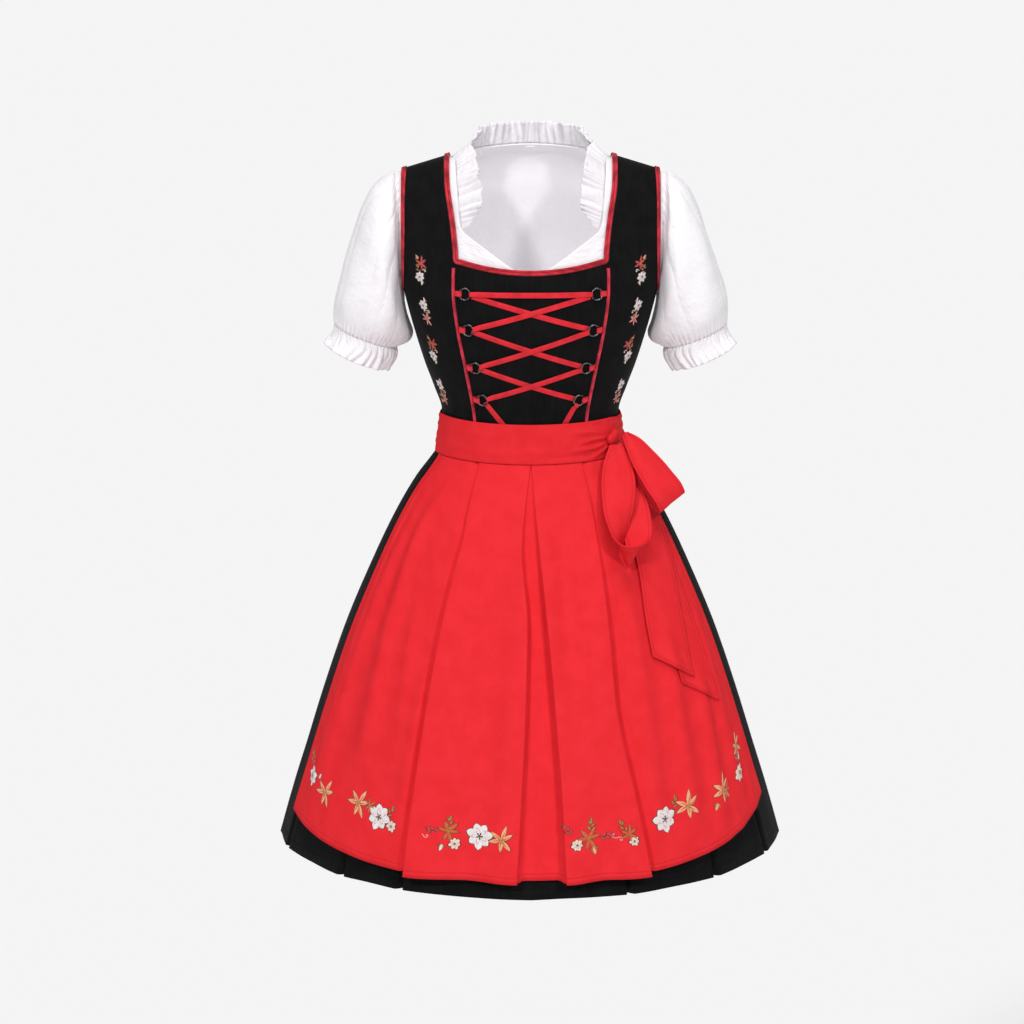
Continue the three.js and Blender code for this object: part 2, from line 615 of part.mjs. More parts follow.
/** The level of the back neck seam at a distance from the centre. */
function backNeckLevel(x) {
  const share = Math.min(1, Math.abs(x) / NECK_HALF_WIDTH);
  const slope = SHOULDER_SLOPE * (STRAP_INNER - Math.abs(x)) * (1 - share ** 6);
  return Math.min(0, BACK_NECK_RISE * (1 - share ** 4) - slope);
}

const NECK_SEAM_STEP = 1.85;   // how far up the frill its gathered seam lies clear of the blouse
const BLOUSE_BACK_EDGES = [0, 26, 50, 72, 93, 106, 110, 132, 158, 178, 187];
const BLOUSE_BACK_ROWS = [0, 0.28, 0.38, 0.52, 0.7, 0.85, 0.95, 1];

/** The blouse's back, or a strip of it between two rows and two columns, at a distance off the form. */
function blouseBackGrid(xs, rows, height) {
  return xs.map((x) => rows.map((t) => {
    const share = Math.sign(x) * Math.pow(Math.abs(x) / BLOUSE_ARMHOLE, formFullness(0) / 2) * (1 - 1e-6);
    const level = lerp(BLOUSE_HEM, backNeckLevel(x), t);
    return lifted(formPlace(share, girth(Math.min(level, -0.002), true), BLOUSE_ARMHOLE), height);
  }));
}

function mirroredList(xs) {
  return [...xs.slice(1).reverse().map((x) => -x), ...xs];
}

function blouseBack() {
  const xs = mirroredList(BLOUSE_BACK_EDGES);
  const face = blouseBackGrid(xs, BLOUSE_BACK_ROWS, -BLOUSE_UNDER);
  return wall(face, blouseBackGrid(xs, BLOUSE_BACK_ROWS, -BLOUSE_UNDER - CLOTH.blouse));
}

/** The neck seam from one front end over the shoulders and round the back to the other. */
function neckSeam(lift, frontEnd = -95) {
  const left = [frontEnd, -75, -50, -25, -8].map((level) => formAt(blouseNeckEdge(level), girth(level), BLOUSE_ARMHOLE));
  left.push(formAt(NECK_HALF_WIDTH, SHOULDER_TURN, BLOUSE_ARMHOLE));
  for (const x of [108, 100, 85, 65, 45, 22]) {
    left.push(formAt(x, girth(backNeckLevel(x), true), BLOUSE_ARMHOLE));
  }
  const middle = formAt(0.001, girth(backNeckLevel(0), true), BLOUSE_ARMHOLE);
  const right = left.slice().reverse().map(({ point, normal }) => ({
    point: point.clone().setX(-point.x), normal: normal.clone().setX(-normal.x),
  }));
  return [...left, middle, ...right].map((place) => ({ point: lifted(place, lift), normal: place.normal }));
}

/** The frill stands up round the back of the neck and lies inwards beside the straps. */
function neckFrill() {
  const seam = neckSeam(-BLOUSE_UNDER - CLOTH.blouse / 2);
  const route = new THREE.CatmullRomCurve3(seam.map((place) => place.point));
  const count = NECK_FRILL.waves * 2;
  const points = route.getSpacedPoints(count);
  const grid = points.map((point, i) => {
    const share = i / count;
    const { rise, height } = frillRise(point, share);
    const ahead = points[Math.min(i + 1, count)].clone().sub(points[Math.max(i - 1, 0)]).normalize();
    const swell = new THREE.Vector3().crossVectors(ahead, rise).normalize();
    const taper = THREE.MathUtils.smoothstep(Math.min(share, 1 - share), 0, 0.04);
    const full = height * lerp(NECK_FRILL.end_height, 1, taper);
    const wave = i % 2 === 0 ? 1 : -1;
    return [NECK_SEAM_STEP / FRILL_HEIGHT, 1].map((t) => point.clone()
      .addScaledVector(rise, t * full)
      .addScaledVector(swell, wave * NECK_FRILL.depth * t * taper));
  });
  return shell(grid, CLOTH.blouse);
}

/** Which way the neck frill stands and how high: upright at the back, leaning in at the shoulders. */
function frillRise(point, share) {
  const toFront = THREE.MathUtils.smoothstep(Math.abs(share - 0.5), 0.2, 0.42);
  const out = Math.abs(point.x);
  const lean = lerp(lerp(0.12, 1.05, THREE.MathUtils.smoothstep(out, 70, 112)), 0.95, toFront);
  const inward = new THREE.Vector3(-Math.sign(point.x) * Math.min(1, out / 60), 0, 0);
  const rise = new THREE.Vector3(0, lerp(-0.08, -0.3, toFront), lerp(1, 0.42, toFront))
    .addScaledVector(inward, lean).normalize();
  return { rise, height: FRILL_HEIGHT * lerp(0.87, 1, toFront) };
}

/** The facing inside the back neck, and the label sewn to it. */
function buildNeckFacing() {
  const rows = BLOUSE_BACK_ROWS.slice(-2);
  const xs = mirroredList(BLOUSE_BACK_EDGES.filter((x) => x <= 72));
  const face = -BLOUSE_UNDER - CLOTH.blouse - FACING_GAP.facing;
  const facing = [face, face - CLOTH.blouse].map((height) => blouseBackGrid(xs, rows, height));
  piece('neck_facing', wall(...facing), FINISH.white);
  const labelFace = face - CLOTH.blouse - FACING_GAP.label;
  const half = LABEL.width / 2;
  const label = [labelFace, labelFace - LABEL.thickness].map((height) => (
    blouseBackGrid([-half, 0, half], [rows[0] + 0.005, rows[0] + 0.04], height)));
  piece('size_label', wall(...label), FINISH.white);
}

const SLEEVE_COLUMNS = 18;
const SLEEVE_PASS = 3.5;       // how far past the blouse's armhole the sleeve leaves the bodice

/** One ring of the sleeve, from the top of the arm round the front to the underarm and back. */
function sleeveRing(row, sign, count, wave = () => 0) {
  const top = new THREE.Vector3(sign * row.top_x, 0, row.top_z);
  const under = new THREE.Vector3(sign * row.under_x, 0, row.under_z);
  const centre = top.clone().add(under).multiplyScalar(0.5);
  const reach = top.clone().sub(centre);
  return steps(0, 2 * Math.PI, count).slice(0, count).map((turn, i) => {
    const swell = 1 + wave(i);
    return centre.clone()
      .addScaledVector(reach, Math.cos(turn) * swell)
      .add(new THREE.Vector3(0, -Math.sin(turn) * row.half_depth * swell, 0));
  });
}

function sleeve(sign) {
  const ringOut = (out) => armholeRail(sign, BLOUSE_ARMHOLE + out, SLEEVE_COLUMNS)
    .map((place) => lifted(place, -BLOUSE_UNDER));
  const armhole = ringOut(2 * SEAM_GAP);
  const passing = ringOut(SLEEVE_PASS);     // clear of the bodice's armhole binding
  const rings = [armhole, passing, ...SLEEVE.map((row) => sleeveRing(row, sign, SLEEVE_COLUMNS))];
  const grid = armhole.map((_, i) => rings.map((ring) => ring[i]));
  return shell(grid, CLOTH.blouse, sign, true);
}

function cuffFrill(sign) {
  const count = CUFF_FRILL.waves * 2;
  const cuff = SLEEVE[SLEEVE.length - 1];
  const drop = SEAM_GAP + CLOTH.blouse / 2;
  const start = { ...cuff, top_z: cuff.top_z - drop, under_z: cuff.under_z - drop };
  const wave = (i) => ((i % 2 === 0 ? 1 : -1) * CUFF_FRILL.depth) / CUFF_FRILL.half_depth;
  const rings = [sleeveRing(start, sign, count), sleeveRing(CUFF_FRILL, sign, count, wave)];
  const grid = rings[0].map((_, i) => rings.map((ring) => ring[i]));
  return shell(grid, CLOTH.blouse, sign, true);
}

function buildBlouse() {
  for (const { name, sign } of SIDES) {
    piece(`blouse_front_${name}`, sidePanel({
      sign,
      back: false,
      levels: BLOUSE_LEVELS,
      innerEdge: (level) => Math.max(blouseNeckEdge(level), SEAM_GAP / 2),
      armhole: BLOUSE_ARMHOLE,
      columns: 7,
      lift: -BLOUSE_UNDER,
      thickness: CLOTH.blouse,
    }), FINISH.white);
    piece(`sleeve_${name}`, sleeve(sign), FINISH.white);
    piece(`cuff_frill_${name}`, cuffFrill(sign), FINISH.white);
  }
  piece('blouse_back', blouseBack(), FINISH.white);
  piece('neck_frill', neckFrill(), FINISH.white);
  buildNeckFacing();
}

// ---------------------------------------------------------------- pleated cloth

const skirtWidth = curve(SKIRT, 'half_width');
const skirtDepth = curve(SKIRT, 'half_depth');

/** Space between a pleat's layers: pressed flat at the waist, looser towards the hem. */
function looseness(z) {
  return lerp(LOOSENESS.hem, LOOSENESS.waist, THREE.MathUtils.smoothstep(z, -700, -430));
}

/** A point beside an ellipse: angle round it, distance along it and height off it. */
function ellipsePoint(width, depth, z, { angle, along, off }) {
  const turn = radians(angle);
  const speed = Math.hypot(width * Math.cos(turn), depth * Math.sin(turn));
  const at = turn + along / speed;
  const normal = new THREE.Vector3(Math.sin(at) / width, -Math.cos(at) / depth, 0).normalize();
  return new THREE.Vector3(width * Math.sin(at), -depth * Math.cos(at), z).addScaledVector(normal, off);
}

/** Columns of one fold. Its edge faces +1 or -1 along the cloth, and its underlay has a depth by height. */
function foldColumns({ angle, facing, depth, rise = PLEAT_RISE, cloth }) {
  const second = (z) => -2 * cloth - looseness(z);
  const third = (z) => -2 * cloth - 2 * looseness(z);
  const column = (along, off, inAlong, inOff) => ({
    angle,
    outer: (z) => ({ along: facing * along(z), off: off(z) }),
    inner: (z) => ({ along: facing * (along(z) + inAlong), off: off(z) + inOff }),
  });
  const zero = () => 0;
  const back = (z) => -depth(z);
  const columns = [
    column(zero, zero, -cloth, -cloth),
    column(zero, second, -cloth, cloth),
    column(back, second, -cloth, cloth),
    column(back, third, -cloth, -cloth),
    column(zero, third, 0, -cloth),
  ];
  if (rise > 0) columns.push(column(() => rise, zero, 0, -cloth));
  return facing > 0 ? columns : columns.reverse();
}

function plainColumn(angle, cloth, off = () => 0) {
  return {
    angle,
    outer: (z) => ({ along: 0, off: off(z) }),
    inner: (z) => ({ along: 0, off: off(z) - cloth }),
  };
}

/** A pleated wall from its columns. The hem's height may change round the cloth. */
function pleatedWall(columns, levels, { width, depth, hem = (_, z) => z }) {
  const grid = (side) => columns.map((column) => levels.map((level) => {
    const angle = typeof column.angle === 'function' ? column.angle(level) : column.angle;
    const z = hem(angle, level);
    const { along, off } = column[side](z);
    return ellipsePoint(width(z), depth(z), z, { angle, along, off });
  }));
  return wall(grid('outer'), grid('inner'));
}

const SKIRT_LEVELS = [SKIRT_TOP, -436, -458, -500, -600, -780, SKIRT_HEM];
const skirtUnderlay = (z) => lerp(14, 38, THREE.MathUtils.smoothstep(z, SKIRT_HEM, -430));

/** Skirt columns between two angles on one side, from the centre outwards. */
function skirtColumns(sign, from, to) {
  const columns = [];
  let last = from;
  const pleats = sign > 0 ? SKIRT_PLEATS.left : SKIRT_PLEATS.right;
  for (const angle of pleats.filter((a) => a > from && a < to)) {
    const middle = last === from ? (last + angle) / 2 : lerp(last, angle, 0.55);
    columns.push([plainColumn(sign * middle, CLOTH.skirt)]);
    const fold = foldColumns({ angle: sign * angle, facing: sign, depth: skirtUnderlay, cloth: CLOTH.skirt });
    columns.push(sign > 0 ? fold : fold.reverse());
    last = angle;
  }
  columns.push([plainColumn(sign * lerp(last, to, 0.6), CLOTH.skirt)]);
  columns.push([plainColumn(sign * to, CLOTH.skirt)]);
  return columns.flat();
}

function buildSkirt() {
  const shape = { width: skirtWidth, depth: skirtDepth };
  const halfGap = 0.15;
  const front = [
    ...skirtColumns(-1, 0, SKIRT_SEAM_ANGLE - halfGap).reverse(),
    plainColumn(0, CLOTH.skirt),
    ...skirtColumns(1, 0, SKIRT_SEAM_ANGLE - halfGap),
  ];
  piece('skirt_front', pleatedWall(front, SKIRT_LEVELS, shape), FINISH.black);
  const back = [
    plainColumn(SKIRT_SEAM_ANGLE + halfGap, CLOTH.skirt),
    ...skirtColumns(1, SKIRT_SEAM_ANGLE + halfGap, 180),
    ...skirtColumns(-1, SKIRT_SEAM_ANGLE + halfGap, 180).reverse().slice(1),
    plainColumn(-SKIRT_SEAM_ANGLE - halfGap, CLOTH.skirt),
  ];
  piece('skirt_back', pleatedWall(back, SKIRT_LEVELS, shape), FINISH.black);
}

// ---------------------------------------------------------------- apron

const APRON_LEVELS = [APRON_TOP, -458, -490, -540, -646, -757, -880, APRON_HEM];

/** A value that changes smoothly from the apron's hem to its top. */
function fromHem(hem, top) {
  return (z) => lerp(hem, top, THREE.MathUtils.smoothstep(z, APRON_HEM, APRON_TOP));
}

/** How far the apron's face lies off the skirt's: over its own pleats, and clear of the skirt's. */
function apronOff(z) {
  const clear = lerp(APRON_CLEAR.hem, APRON_CLEAR.top, THREE.MathUtils.smoothstep(z, -520, -440));
  return clear + 3 * CLOTH.apron + 2 * looseness(z);
}

/** The apron's hem rises towards its sides. */
function apronHem(angle, level) {
  const corner = angle > 0 ? APRON_CORNER_LIFT.left : APRON_CORNER_LIFT.right;
  const lift = corner * (Math.abs(angle) / APRON_SIDE_ANGLE) ** 4;
  return level + lift * THREE.MathUtils.smoothstep(-level, 500, -APRON_HEM);
}

function buildApron() {
  const cloth = CLOTH.apron;
  const [rightKnife, boxRight, boxLeft, leftKnife] = ['right_knife', 'box_right', 'box_left', 'left_knife']
    .map((edge) => curve(APRON_PLEATS, edge));
  const plain = (angle) => plainColumn(angle, cloth);
  const between = (a, b) => [1 / 3, 2 / 3].map((s) => plain((z) => lerp(a(z), b(z), s)));
  const knife = (angle, facing) => foldColumns({ angle, facing, depth: fromHem(16, 34), cloth });
  const box = (angle, facing) => foldColumns({ angle, facing, rise: 0, depth: fromHem(12, 30), cloth });
  const columns = [
    ...steps(-APRON_SIDE_ANGLE, -41, 4).map(plain),
    ...knife(rightKnife, -1),
    ...between(rightKnife, boxRight),
    ...box(boxRight, 1),
    ...box(boxLeft, -1),
    ...between(boxLeft, leftKnife),
    ...knife(leftKnife, 1),
    ...steps(41, APRON_SIDE_ANGLE, 4).map(plain),
  ];
  piece('apron_panel', pleatedWall(columns, APRON_LEVELS, {
    width: (z) => skirtWidth(z) + apronOff(z), depth: (z) => skirtDepth(z) + apronOff(z), hem: apronHem,
  }), FINISH.red);
}

/** The waistband's face at a height: it clears the bodice, the skirt and the apron's top edge. */
function bandShape(z) {
  const share = (z - BAND.bottom) / (BAND.top - BAND.bottom);
  return { width: lerp(144, 136.2, share), depth: lerp(111, 104, share) };
}

function bandWall(angles, { top, bottom }, inside = 0) {
  const grid = (off) => angles.map((angle) => steps(bottom, top, 2).map((z) => bandPlace(angle, z, off)));
  return wall(grid(-inside), grid(-inside - CLOTH.band));
}

function bandPlace(angle, z, off = 0) {
  const { width, depth } = bandShape(z);
  return ellipsePoint(width, depth, z, { angle, along: 0, off });
}

/** The outermost face that a tie can hang on: the band, and below it the apron. */
function hangShape(z) {
  const band = bandShape(z);
  return {
    width: Math.max(z > BAND.bottom - 4 ? band.width : 0, skirtWidth(z) + apronOff(z)),
    depth: Math.max(z > BAND.bottom - 4 ? band.depth : 0, skirtDepth(z) + apronOff(z)),
  };
}

function hangPlace(angle, z, off) {
  const { width, depth } = hangShape(z);
  return ellipsePoint(width, depth, z, { angle, along: 0, off });
}

function bowFrame() {
  const centre = bandPlace(KNOT.angle, KNOT.z);
  const ahead = bandPlace(KNOT.angle + 1, KNOT.z).sub(bandPlace(KNOT.angle - 1, KNOT.z)).normalize();
  const outward = bandPlace(KNOT.angle, KNOT.z, 1).sub(centre).normalize();
  return { centre, ahead, outward };
}

function bowKnot() {
  const { centre, ahead, outward } = bowFrame();
  const shape = new THREE.Shape();
  shape.absellipse(0, 0, KNOT.half_width, KNOT.half_height, 0, 2 * Math.PI, false);
  const geometry = new THREE.ExtrudeGeometry(shape, {
    depth: KNOT.depth, bevelEnabled: true, bevelThickness: KNOT.round, bevelSize: KNOT.round,
    bevelSegments: 2, curveSegments: 4,
  });
  geometry.translate(0, 0, KNOT.round + KNOT.lift);
  const up = new THREE.Vector3().crossVectors(outward, ahead);
  return geometry.applyMatrix4(new THREE.Matrix4().makeBasis(ahead, up, outward).setPosition(centre));
}

/** The loop that hangs in front, open towards the viewer. */
function frontLoop() {
  const grid = FRONT_LOOP.map(({ near, far }) => [0, 0.5, 1].map((s) => (
    new THREE.Vector3(...near).lerp(new THREE.Vector3(...far), s))));
  return shell(grid, CLOTH.band);
}

/** The loop that stands out to the side, folded flat at its end. */
function sideLoop() {
  const vector = ({ x, y, z }) => new THREE.Vector3(x, y, z);
  const route = new THREE.CatmullRomCurve3(SIDE_LOOP.route.map(vector));
  const grid = SIDE_LOOP.rows.map(({ along, gap, half_width }) => {
    const tangent = route.getTangentAt(along);
    const across = vector(SIDE_LOOP.across);
    across.addScaledVector(tangent, -across.dot(tangent)).normalize();
    const facing = new THREE.Vector3().crossVectors(across, tangent).normalize();
    const centre = route.getPointAt(along).addScaledVector(facing, -gap);
    return [-1, 0, 1].map((s) => centre.clone().addScaledVector(across, s * half_width));
  });
  return shell(grid, CLOTH.band);
}

/** A tail that hangs from under the knot, cut at a slant. */
function tail(table, lift) {
  const angleAt = curve(table, 'angle');
  const halfAt = curve(table, 'half_width');
  const first = table[0].z;
  const last = table[table.length - 1].z;
  const grid = steps(-1, 1, 4).map((s) => steps(0, 1, 7).map((t) => {
    const cut = (TAIL_CUT.slant * s * Math.max(0, t - TAIL_CUT.from)) / (1 - TAIL_CUT.from);
    const z = lerp(first, last, t ** 1.3) - cut;
    const perDegree = hangPlace(angleAt(z) + 0.5, z, 0).distanceTo(hangPlace(angleAt(z) - 0.5, z, 0));
    return hangPlace(angleAt(z) + (s * halfAt(z)) / perDegree, z, lift);
  }));
  return shell(grid, CLOTH.band);
}

function buildBand() {
  const seam = 0.15;             // degrees between a tie and the knot's middle, or the band's end
  const bandEnd = -78;
  const band = steps(bandEnd, KNOT.angle - seam, 24);
  const round = steps(KNOT.angle + seam, 360 + bandEnd - 1, 28);
  piece('apron_band', bandWall(band, BAND), FINISH.red);
  piece('apron_tie_round', bandWall(round, TIE, TIE.inside), FINISH.red);
  piece('bow_knot', bowKnot(), FINISH.red);
  piece('bow_loop_front', frontLoop(), FINISH.red);
  piece('bow_loop_side', sideLoop(), FINISH.red);
  piece('tie_tail_front', tail(FRONT_TAIL, TAIL_LIFT.front), FINISH.red);
  piece('tie_tail_side', tail(SIDE_TAIL, TAIL_LIFT.side), FINISH.red);
}

buildBlouse();
buildBodice();
buildTrims();
buildRings();
buildLacing();
buildSkirt();
buildApron();
buildBand();

export default garment;
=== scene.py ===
"""A dirndl set as it is worn, with no wearer: laced bodice, pleated skirt, frilled blouse and tied apron.

Lengths are in millimetres inside the garment's own classes and become metres when a mesh is made.
+Z is up, the front faces -Y, the wearer's left is +X, and the origin lies between the shoulders.
"""
import json
import logging
import math
from dataclasses import dataclass, field
from enum import Enum
from typing import Callable, Optional, Sequence

import bmesh
import bpy
import numpy as np
from mathutils import Matrix, Vector

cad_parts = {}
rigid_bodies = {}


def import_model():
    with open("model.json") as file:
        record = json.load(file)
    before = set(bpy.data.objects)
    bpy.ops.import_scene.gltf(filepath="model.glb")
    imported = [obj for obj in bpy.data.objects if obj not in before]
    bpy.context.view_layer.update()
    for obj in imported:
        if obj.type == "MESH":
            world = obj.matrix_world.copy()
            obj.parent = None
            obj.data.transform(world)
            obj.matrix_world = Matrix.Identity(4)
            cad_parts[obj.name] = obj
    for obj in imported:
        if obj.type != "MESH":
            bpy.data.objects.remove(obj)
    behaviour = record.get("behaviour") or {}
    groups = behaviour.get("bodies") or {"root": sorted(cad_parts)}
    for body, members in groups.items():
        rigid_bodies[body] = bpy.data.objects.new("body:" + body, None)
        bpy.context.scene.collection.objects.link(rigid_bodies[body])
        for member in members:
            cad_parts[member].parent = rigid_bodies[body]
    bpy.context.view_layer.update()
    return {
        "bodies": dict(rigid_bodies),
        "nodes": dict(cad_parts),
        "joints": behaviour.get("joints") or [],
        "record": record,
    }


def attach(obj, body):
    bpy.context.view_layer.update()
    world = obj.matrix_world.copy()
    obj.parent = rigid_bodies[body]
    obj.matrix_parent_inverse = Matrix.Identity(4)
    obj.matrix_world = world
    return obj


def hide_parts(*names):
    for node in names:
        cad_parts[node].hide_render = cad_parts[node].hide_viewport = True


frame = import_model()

MM = 0.001
SEAM_GAP = 0.2      # clear space between the bodice's panels
CENTRE_ROUND = 24   # how far from the centre line the shoulders' slope is rounded off
NO_HEM = 1e3        # a distance from the nearest hem that no stitching reaches
LEAST_CUT = 0.3     # least share of its rectangle that a cut fills
LOG = logging.getLogger("dirndl")
Array = np.ndarray
Piece = bpy.types.Object
Table = tuple[tuple[float, ...], ...]
Triple = tuple[float, float, float]

CLOTH = {"bodice": 1.6, "blouse": 0.9, "skirt": 1.0, "apron": 1.0, "band": 1.3, "ribbon": 0.8}
BLOUSE_UNDER = 3.6
SHOULDER_ROUND = 75.0
SHOULDER_SLOPE = 0.31
SLOPE_FROM = -130.0
SLOPE_FULL = -50.0
STRAP_INNER = 124.0
STRAP_OUTER = 186.0
BODICE_HEM = -400.0
UNDERARM = -193.0
NECK_CENTRE = -155.0
NECK_CORNER = -138.5
NECK_CORNER_X = 110.0
BACK_NECK = -75.0
BLOUSE_HEM = -285.0
BLOUSE_ARMHOLE = 187.0
NECK_HALF_WIDTH = 110.0
SKIRT_TOP = -400.6
SKIRT_HEM = -1030.0
BAND_TOP = -377.0
BAND_BOTTOM = -435.0
APRON_TOP = -435.6
APRON_HEM = -1000.0
APRON_SIDE_ANGLE = 70.0
PIPING_TOP = -147.0

# height, half width, front depth, back depth, fullness
FORM_ROWS = (
    (-400, 130, 98.5, 97, 2.0), (-377, 130.5, 98, 96, 2.05), (-340, 142, 104, 98, 2.1),
    (-304, 155, 112, 101, 2.2), (-265, 167, 120, 105, 2.25), (-229, 177, 125, 108, 2.3),
    (-193, 186, 123, 110, 2.3), (-150, 197, 116, 110, 2.3), (-100, 205, 105, 105, 2.3),
    (-75, 206, 100, 100, 2.3), (0, 206, 100, 100, 2.3),
)
# height, half width, half depth
SKIRT_ROWS = (
    (-400, 133, 101), (-420, 134.5, 102), (-436, 138, 105), (-450, 147, 113), (-481, 170, 130),
    (-541, 204, 158), (-623, 242, 190), (-709, 278, 220), (-802, 311, 250), (-891, 340, 275),
    (-972, 366, 297), (-1030, 382, 310),
)
# height, distance of the princess seam or of the strap's inner edge from the centre line
PRINCESS_ROWS = (
    (-400, 79), (-366, 82), (-295, 94), (-235, 105), (-181, 111), (-160, 111), (-138.5, 110),
    (-105, 112.5), (-70, 117), (-30, 122.5), (0, 124),
)
# height, distance of the blouse's front neck edge from the centre line
BLOUSE_NECK_ROWS = (
    (-166, 0), (-151, 19), (-138, 38), (-123, 60), (-108, 84), (-97, 98), (-88, 102), (-60, 105),
    (-25, 108), (0, 110),
)
# height, then the angles of the apron's pleat edges: right knife, both edges of the box, left knife
APRON_PLEAT_ROWS = (
    (-436, -31.2, -0.5, 0.9, 31), (-490, -28.4, -2.8, 2.3, 28), (-540, -26.8, -3.6, 3.5, 25.9),
    (-646, -27, -1.3, 5.4, 23.4), (-757, -27.2, -1.6, 6.6, 22), (-880, -27.2, -2.4, 7.4, 23.9),
    (-1000, -27, -3.2, 7.7, 25.5),
)
RING_SEATS = ((94, -183), (89, -235), (79, -292), (69, -342))
SIDES = (("left", 1), ("right", -1))


# ---- numbers

def smoothstep(value: Array, low: float, high: float) -> Array:
    """Ease from 0 at low to 1 at high."""
    share = np.clip((np.asarray(value, float) - low) / (high - low), 0, 1)
    return share * share * (3 - 2 * share)


def mix(first: Array, second: Array, share: Array) -> Array:
    """Straight interpolation between two values."""
    return first + (second - first) * share


class Curve:
    """A smooth curve through a table's rows, with no overshoot between them."""

    def __init__(self, rows: Sequence[Sequence[float]], column: int = 1) -> None:
        """Take one column of a table.

        Args:
            rows: The table; a row's first number is where it stands.
            column: Which of a row's numbers the curve runs through.
        """
        ordered = sorted((float(row[0]), float(row[column])) for row in rows)
        self.at = np.array([row[0] for row in ordered])
        self.value = np.array([row[1] for row in ordered])
        rise = np.diff(self.value) / np.diff(self.at)
        product = rise[:-1] * rise[1:]
        total = np.where(product > 0, rise[:-1] + rise[1:], 1)
        middle = np.where(product > 0, 2 * product / total, 0)
        self.slope = np.concatenate([rise[:1], middle, rise[-1:]])

    def __call__(self, where: Array) -> Array:
        """Value of the curve at one place or many.

        Args:
            where: One place or many.

        Returns:
            The value at each place.
        """
        place = np.clip(np.asarray(where, float), self.at[0], self.at[-1])
        i = np.clip(np.searchsorted(self.at, place) - 1, 0, len(self.at) - 2)
        span = self.at[i + 1] - self.at[i]
        s = (place - self.at[i]) / span
        ease = s * s * (3 - 2 * s)
        bend = self.slope[i] * s * (1 - s) ** 2 - self.slope[i + 1] * s * s * (1 - s)
        return mix(self.value[i], self.value[i + 1], ease) + span * bend


def through(knots: Array, rows: Array, where: Array) -> Array:
    """A cubic through rows of values of any shape.

    Args:
        knots: Where each row stands.
        rows: The values, with the rows on the first axis.
        where: The places to read.

    Returns:
        One interpolated row for each place.
    """
    knots = np.asarray(knots, float)
    rows = np.asarray(rows, float)
    slope = np.gradient(rows, knots, axis=0)
    i = np.clip(np.searchsorted(knots, where, side="right") - 1, 0, len(knots) - 2)
    span = (knots[i + 1] - knots[i]).reshape((-1,) + (1,) * (rows.ndim - 1))
    s = ((where - knots[i])).reshape(span.shape) / span
    return (rows[i] * (1 + 2 * s) * (1 - s) ** 2 + rows[i + 1] * s * s * (3 - 2 * s)
            + slope[i] * span * s * (1 - s) ** 2 - slope[i + 1] * span * s * s * (1 - s))


def lengths_along(points: Array) -> Array:
    """Distance of each point from the first, along the line that joins them."""
    return np.concatenate([[0], np.cumsum(np.linalg.norm(np.diff(points, axis=0), axis=1))])


def spaced(points: Array, count: int) -> Array:
    """Evenly spaced points on a smooth line through a few.

    Args:
        points: Points of the line.
        count: Number of points to make.

    Returns:
        The new points.
    """
    rough = lengths_along(points)
    fine = through(rough, points, np.linspace(0, rough[-1], 12 * len(points)))
    length = lengths_along(fine)
    return through(length, fine, np.linspace(0, length[-1], count))


def beside(x: Array) -> Array:
    """Distance from the centre line, rounded off next to it."""
    return np.sqrt(np.square(x) + CENTRE_ROUND ** 2)


def unit(vectors: Array) -> Array:
    """Vectors at a length of one."""
    return vectors / np.maximum(np.linalg.norm(vectors, axis=-1, keepdims=True), 1e-9)


class Drift:
    """Smooth noise between -1 and 1 that is the same in every run."""

    SIZE = 64

    def __init__(self, seed: int) -> None:
        """Fill the lattice from a seed."""
        self.lattice = np.random.default_rng(seed).uniform(-1, 1, (self.SIZE, self.SIZE))

    def __call__(self, x: Array, y: Array = 0.0) -> Array:
        """Value at a place, or at many.

        Args:
            x: First coordinate.
            y: Second coordinate.

        Returns:
            Noise between -1 and 1.
        """
        x, y = np.broadcast_arrays(np.asarray(x, float), np.asarray(y, float))
        i, j = np.floor(x).astype(int), np.floor(y).astype(int)
        s, t = smoothstep(x - i, 0, 1), smoothstep(y - j, 0, 1)
        i, j = i % self.SIZE, j % self.SIZE
        after_i, after_j = (i + 1) % self.SIZE, (j + 1) % self.SIZE
        low = mix(self.lattice[i, j], self.lattice[after_i, j], s)
        high = mix(self.lattice[i, after_j], self.lattice[after_i, after_j], s)
        return mix(low, high, t)


@dataclass(frozen=True)
class Crease:
    """A soft ridge, or with a height below zero a trough, along a line down a piece of cloth.

    Attributes:
        line: Rows of distance down the cloth and place across it.
        width: Half the crease's width, in the unit of the place across.
        height: How far it stands out, in millimetres.
        fade: Share of its length over which each end dies away.
    """

    line: tuple[tuple[float, float], ...]
    width: float
    height: float
    fade: float = 0.25

    def relief(self, across: Array, down: Array) -> Array:
        """Height of the crease at places on the cloth.

        Args:
            across: Place across the cloth.
            down: Distance down it.

        Returns:
            Height in millimetres.
        """
        first = min(row[0] for row in self.line)
        last = max(row[0] for row in self.line)
        soft = (last - first) * self.fade
        strength = smoothstep(down, first - 1e-3, first + soft)
        strength = strength * (1 - smoothstep(down, last - soft, last + 1e-3))
        away = (across - Curve(self.line)(down)) / self.width
        return self.height * strength * np.exp(-away * away)


def creased(creases: Sequence[Crease], across: Array, down: Array) -> Array:
    """Total relief of several creases."""
    flat = np.zeros(np.broadcast(across, down).shape)
    return sum((crease.relief(across, down) for crease in creases), flat)


# ---- shader tools

def maths(operation: str, swapped: bool = False) -> Callable:
    """A method that adds one Math node; swapped puts the signal after the other value.

    Args:
        operation: The node's operation.
        swapped: Whether the signal comes after the other value.

    Returns:
        The method.
    """
    def method(self: "Signal", *others: object) -> "Signal":
        """The node's result."""
        values = (*others, self) if swapped else (self, *others)
        return self.recipe.add("ShaderNodeMath", {"operation": operation}, dict(enumerate(values)))
    return method


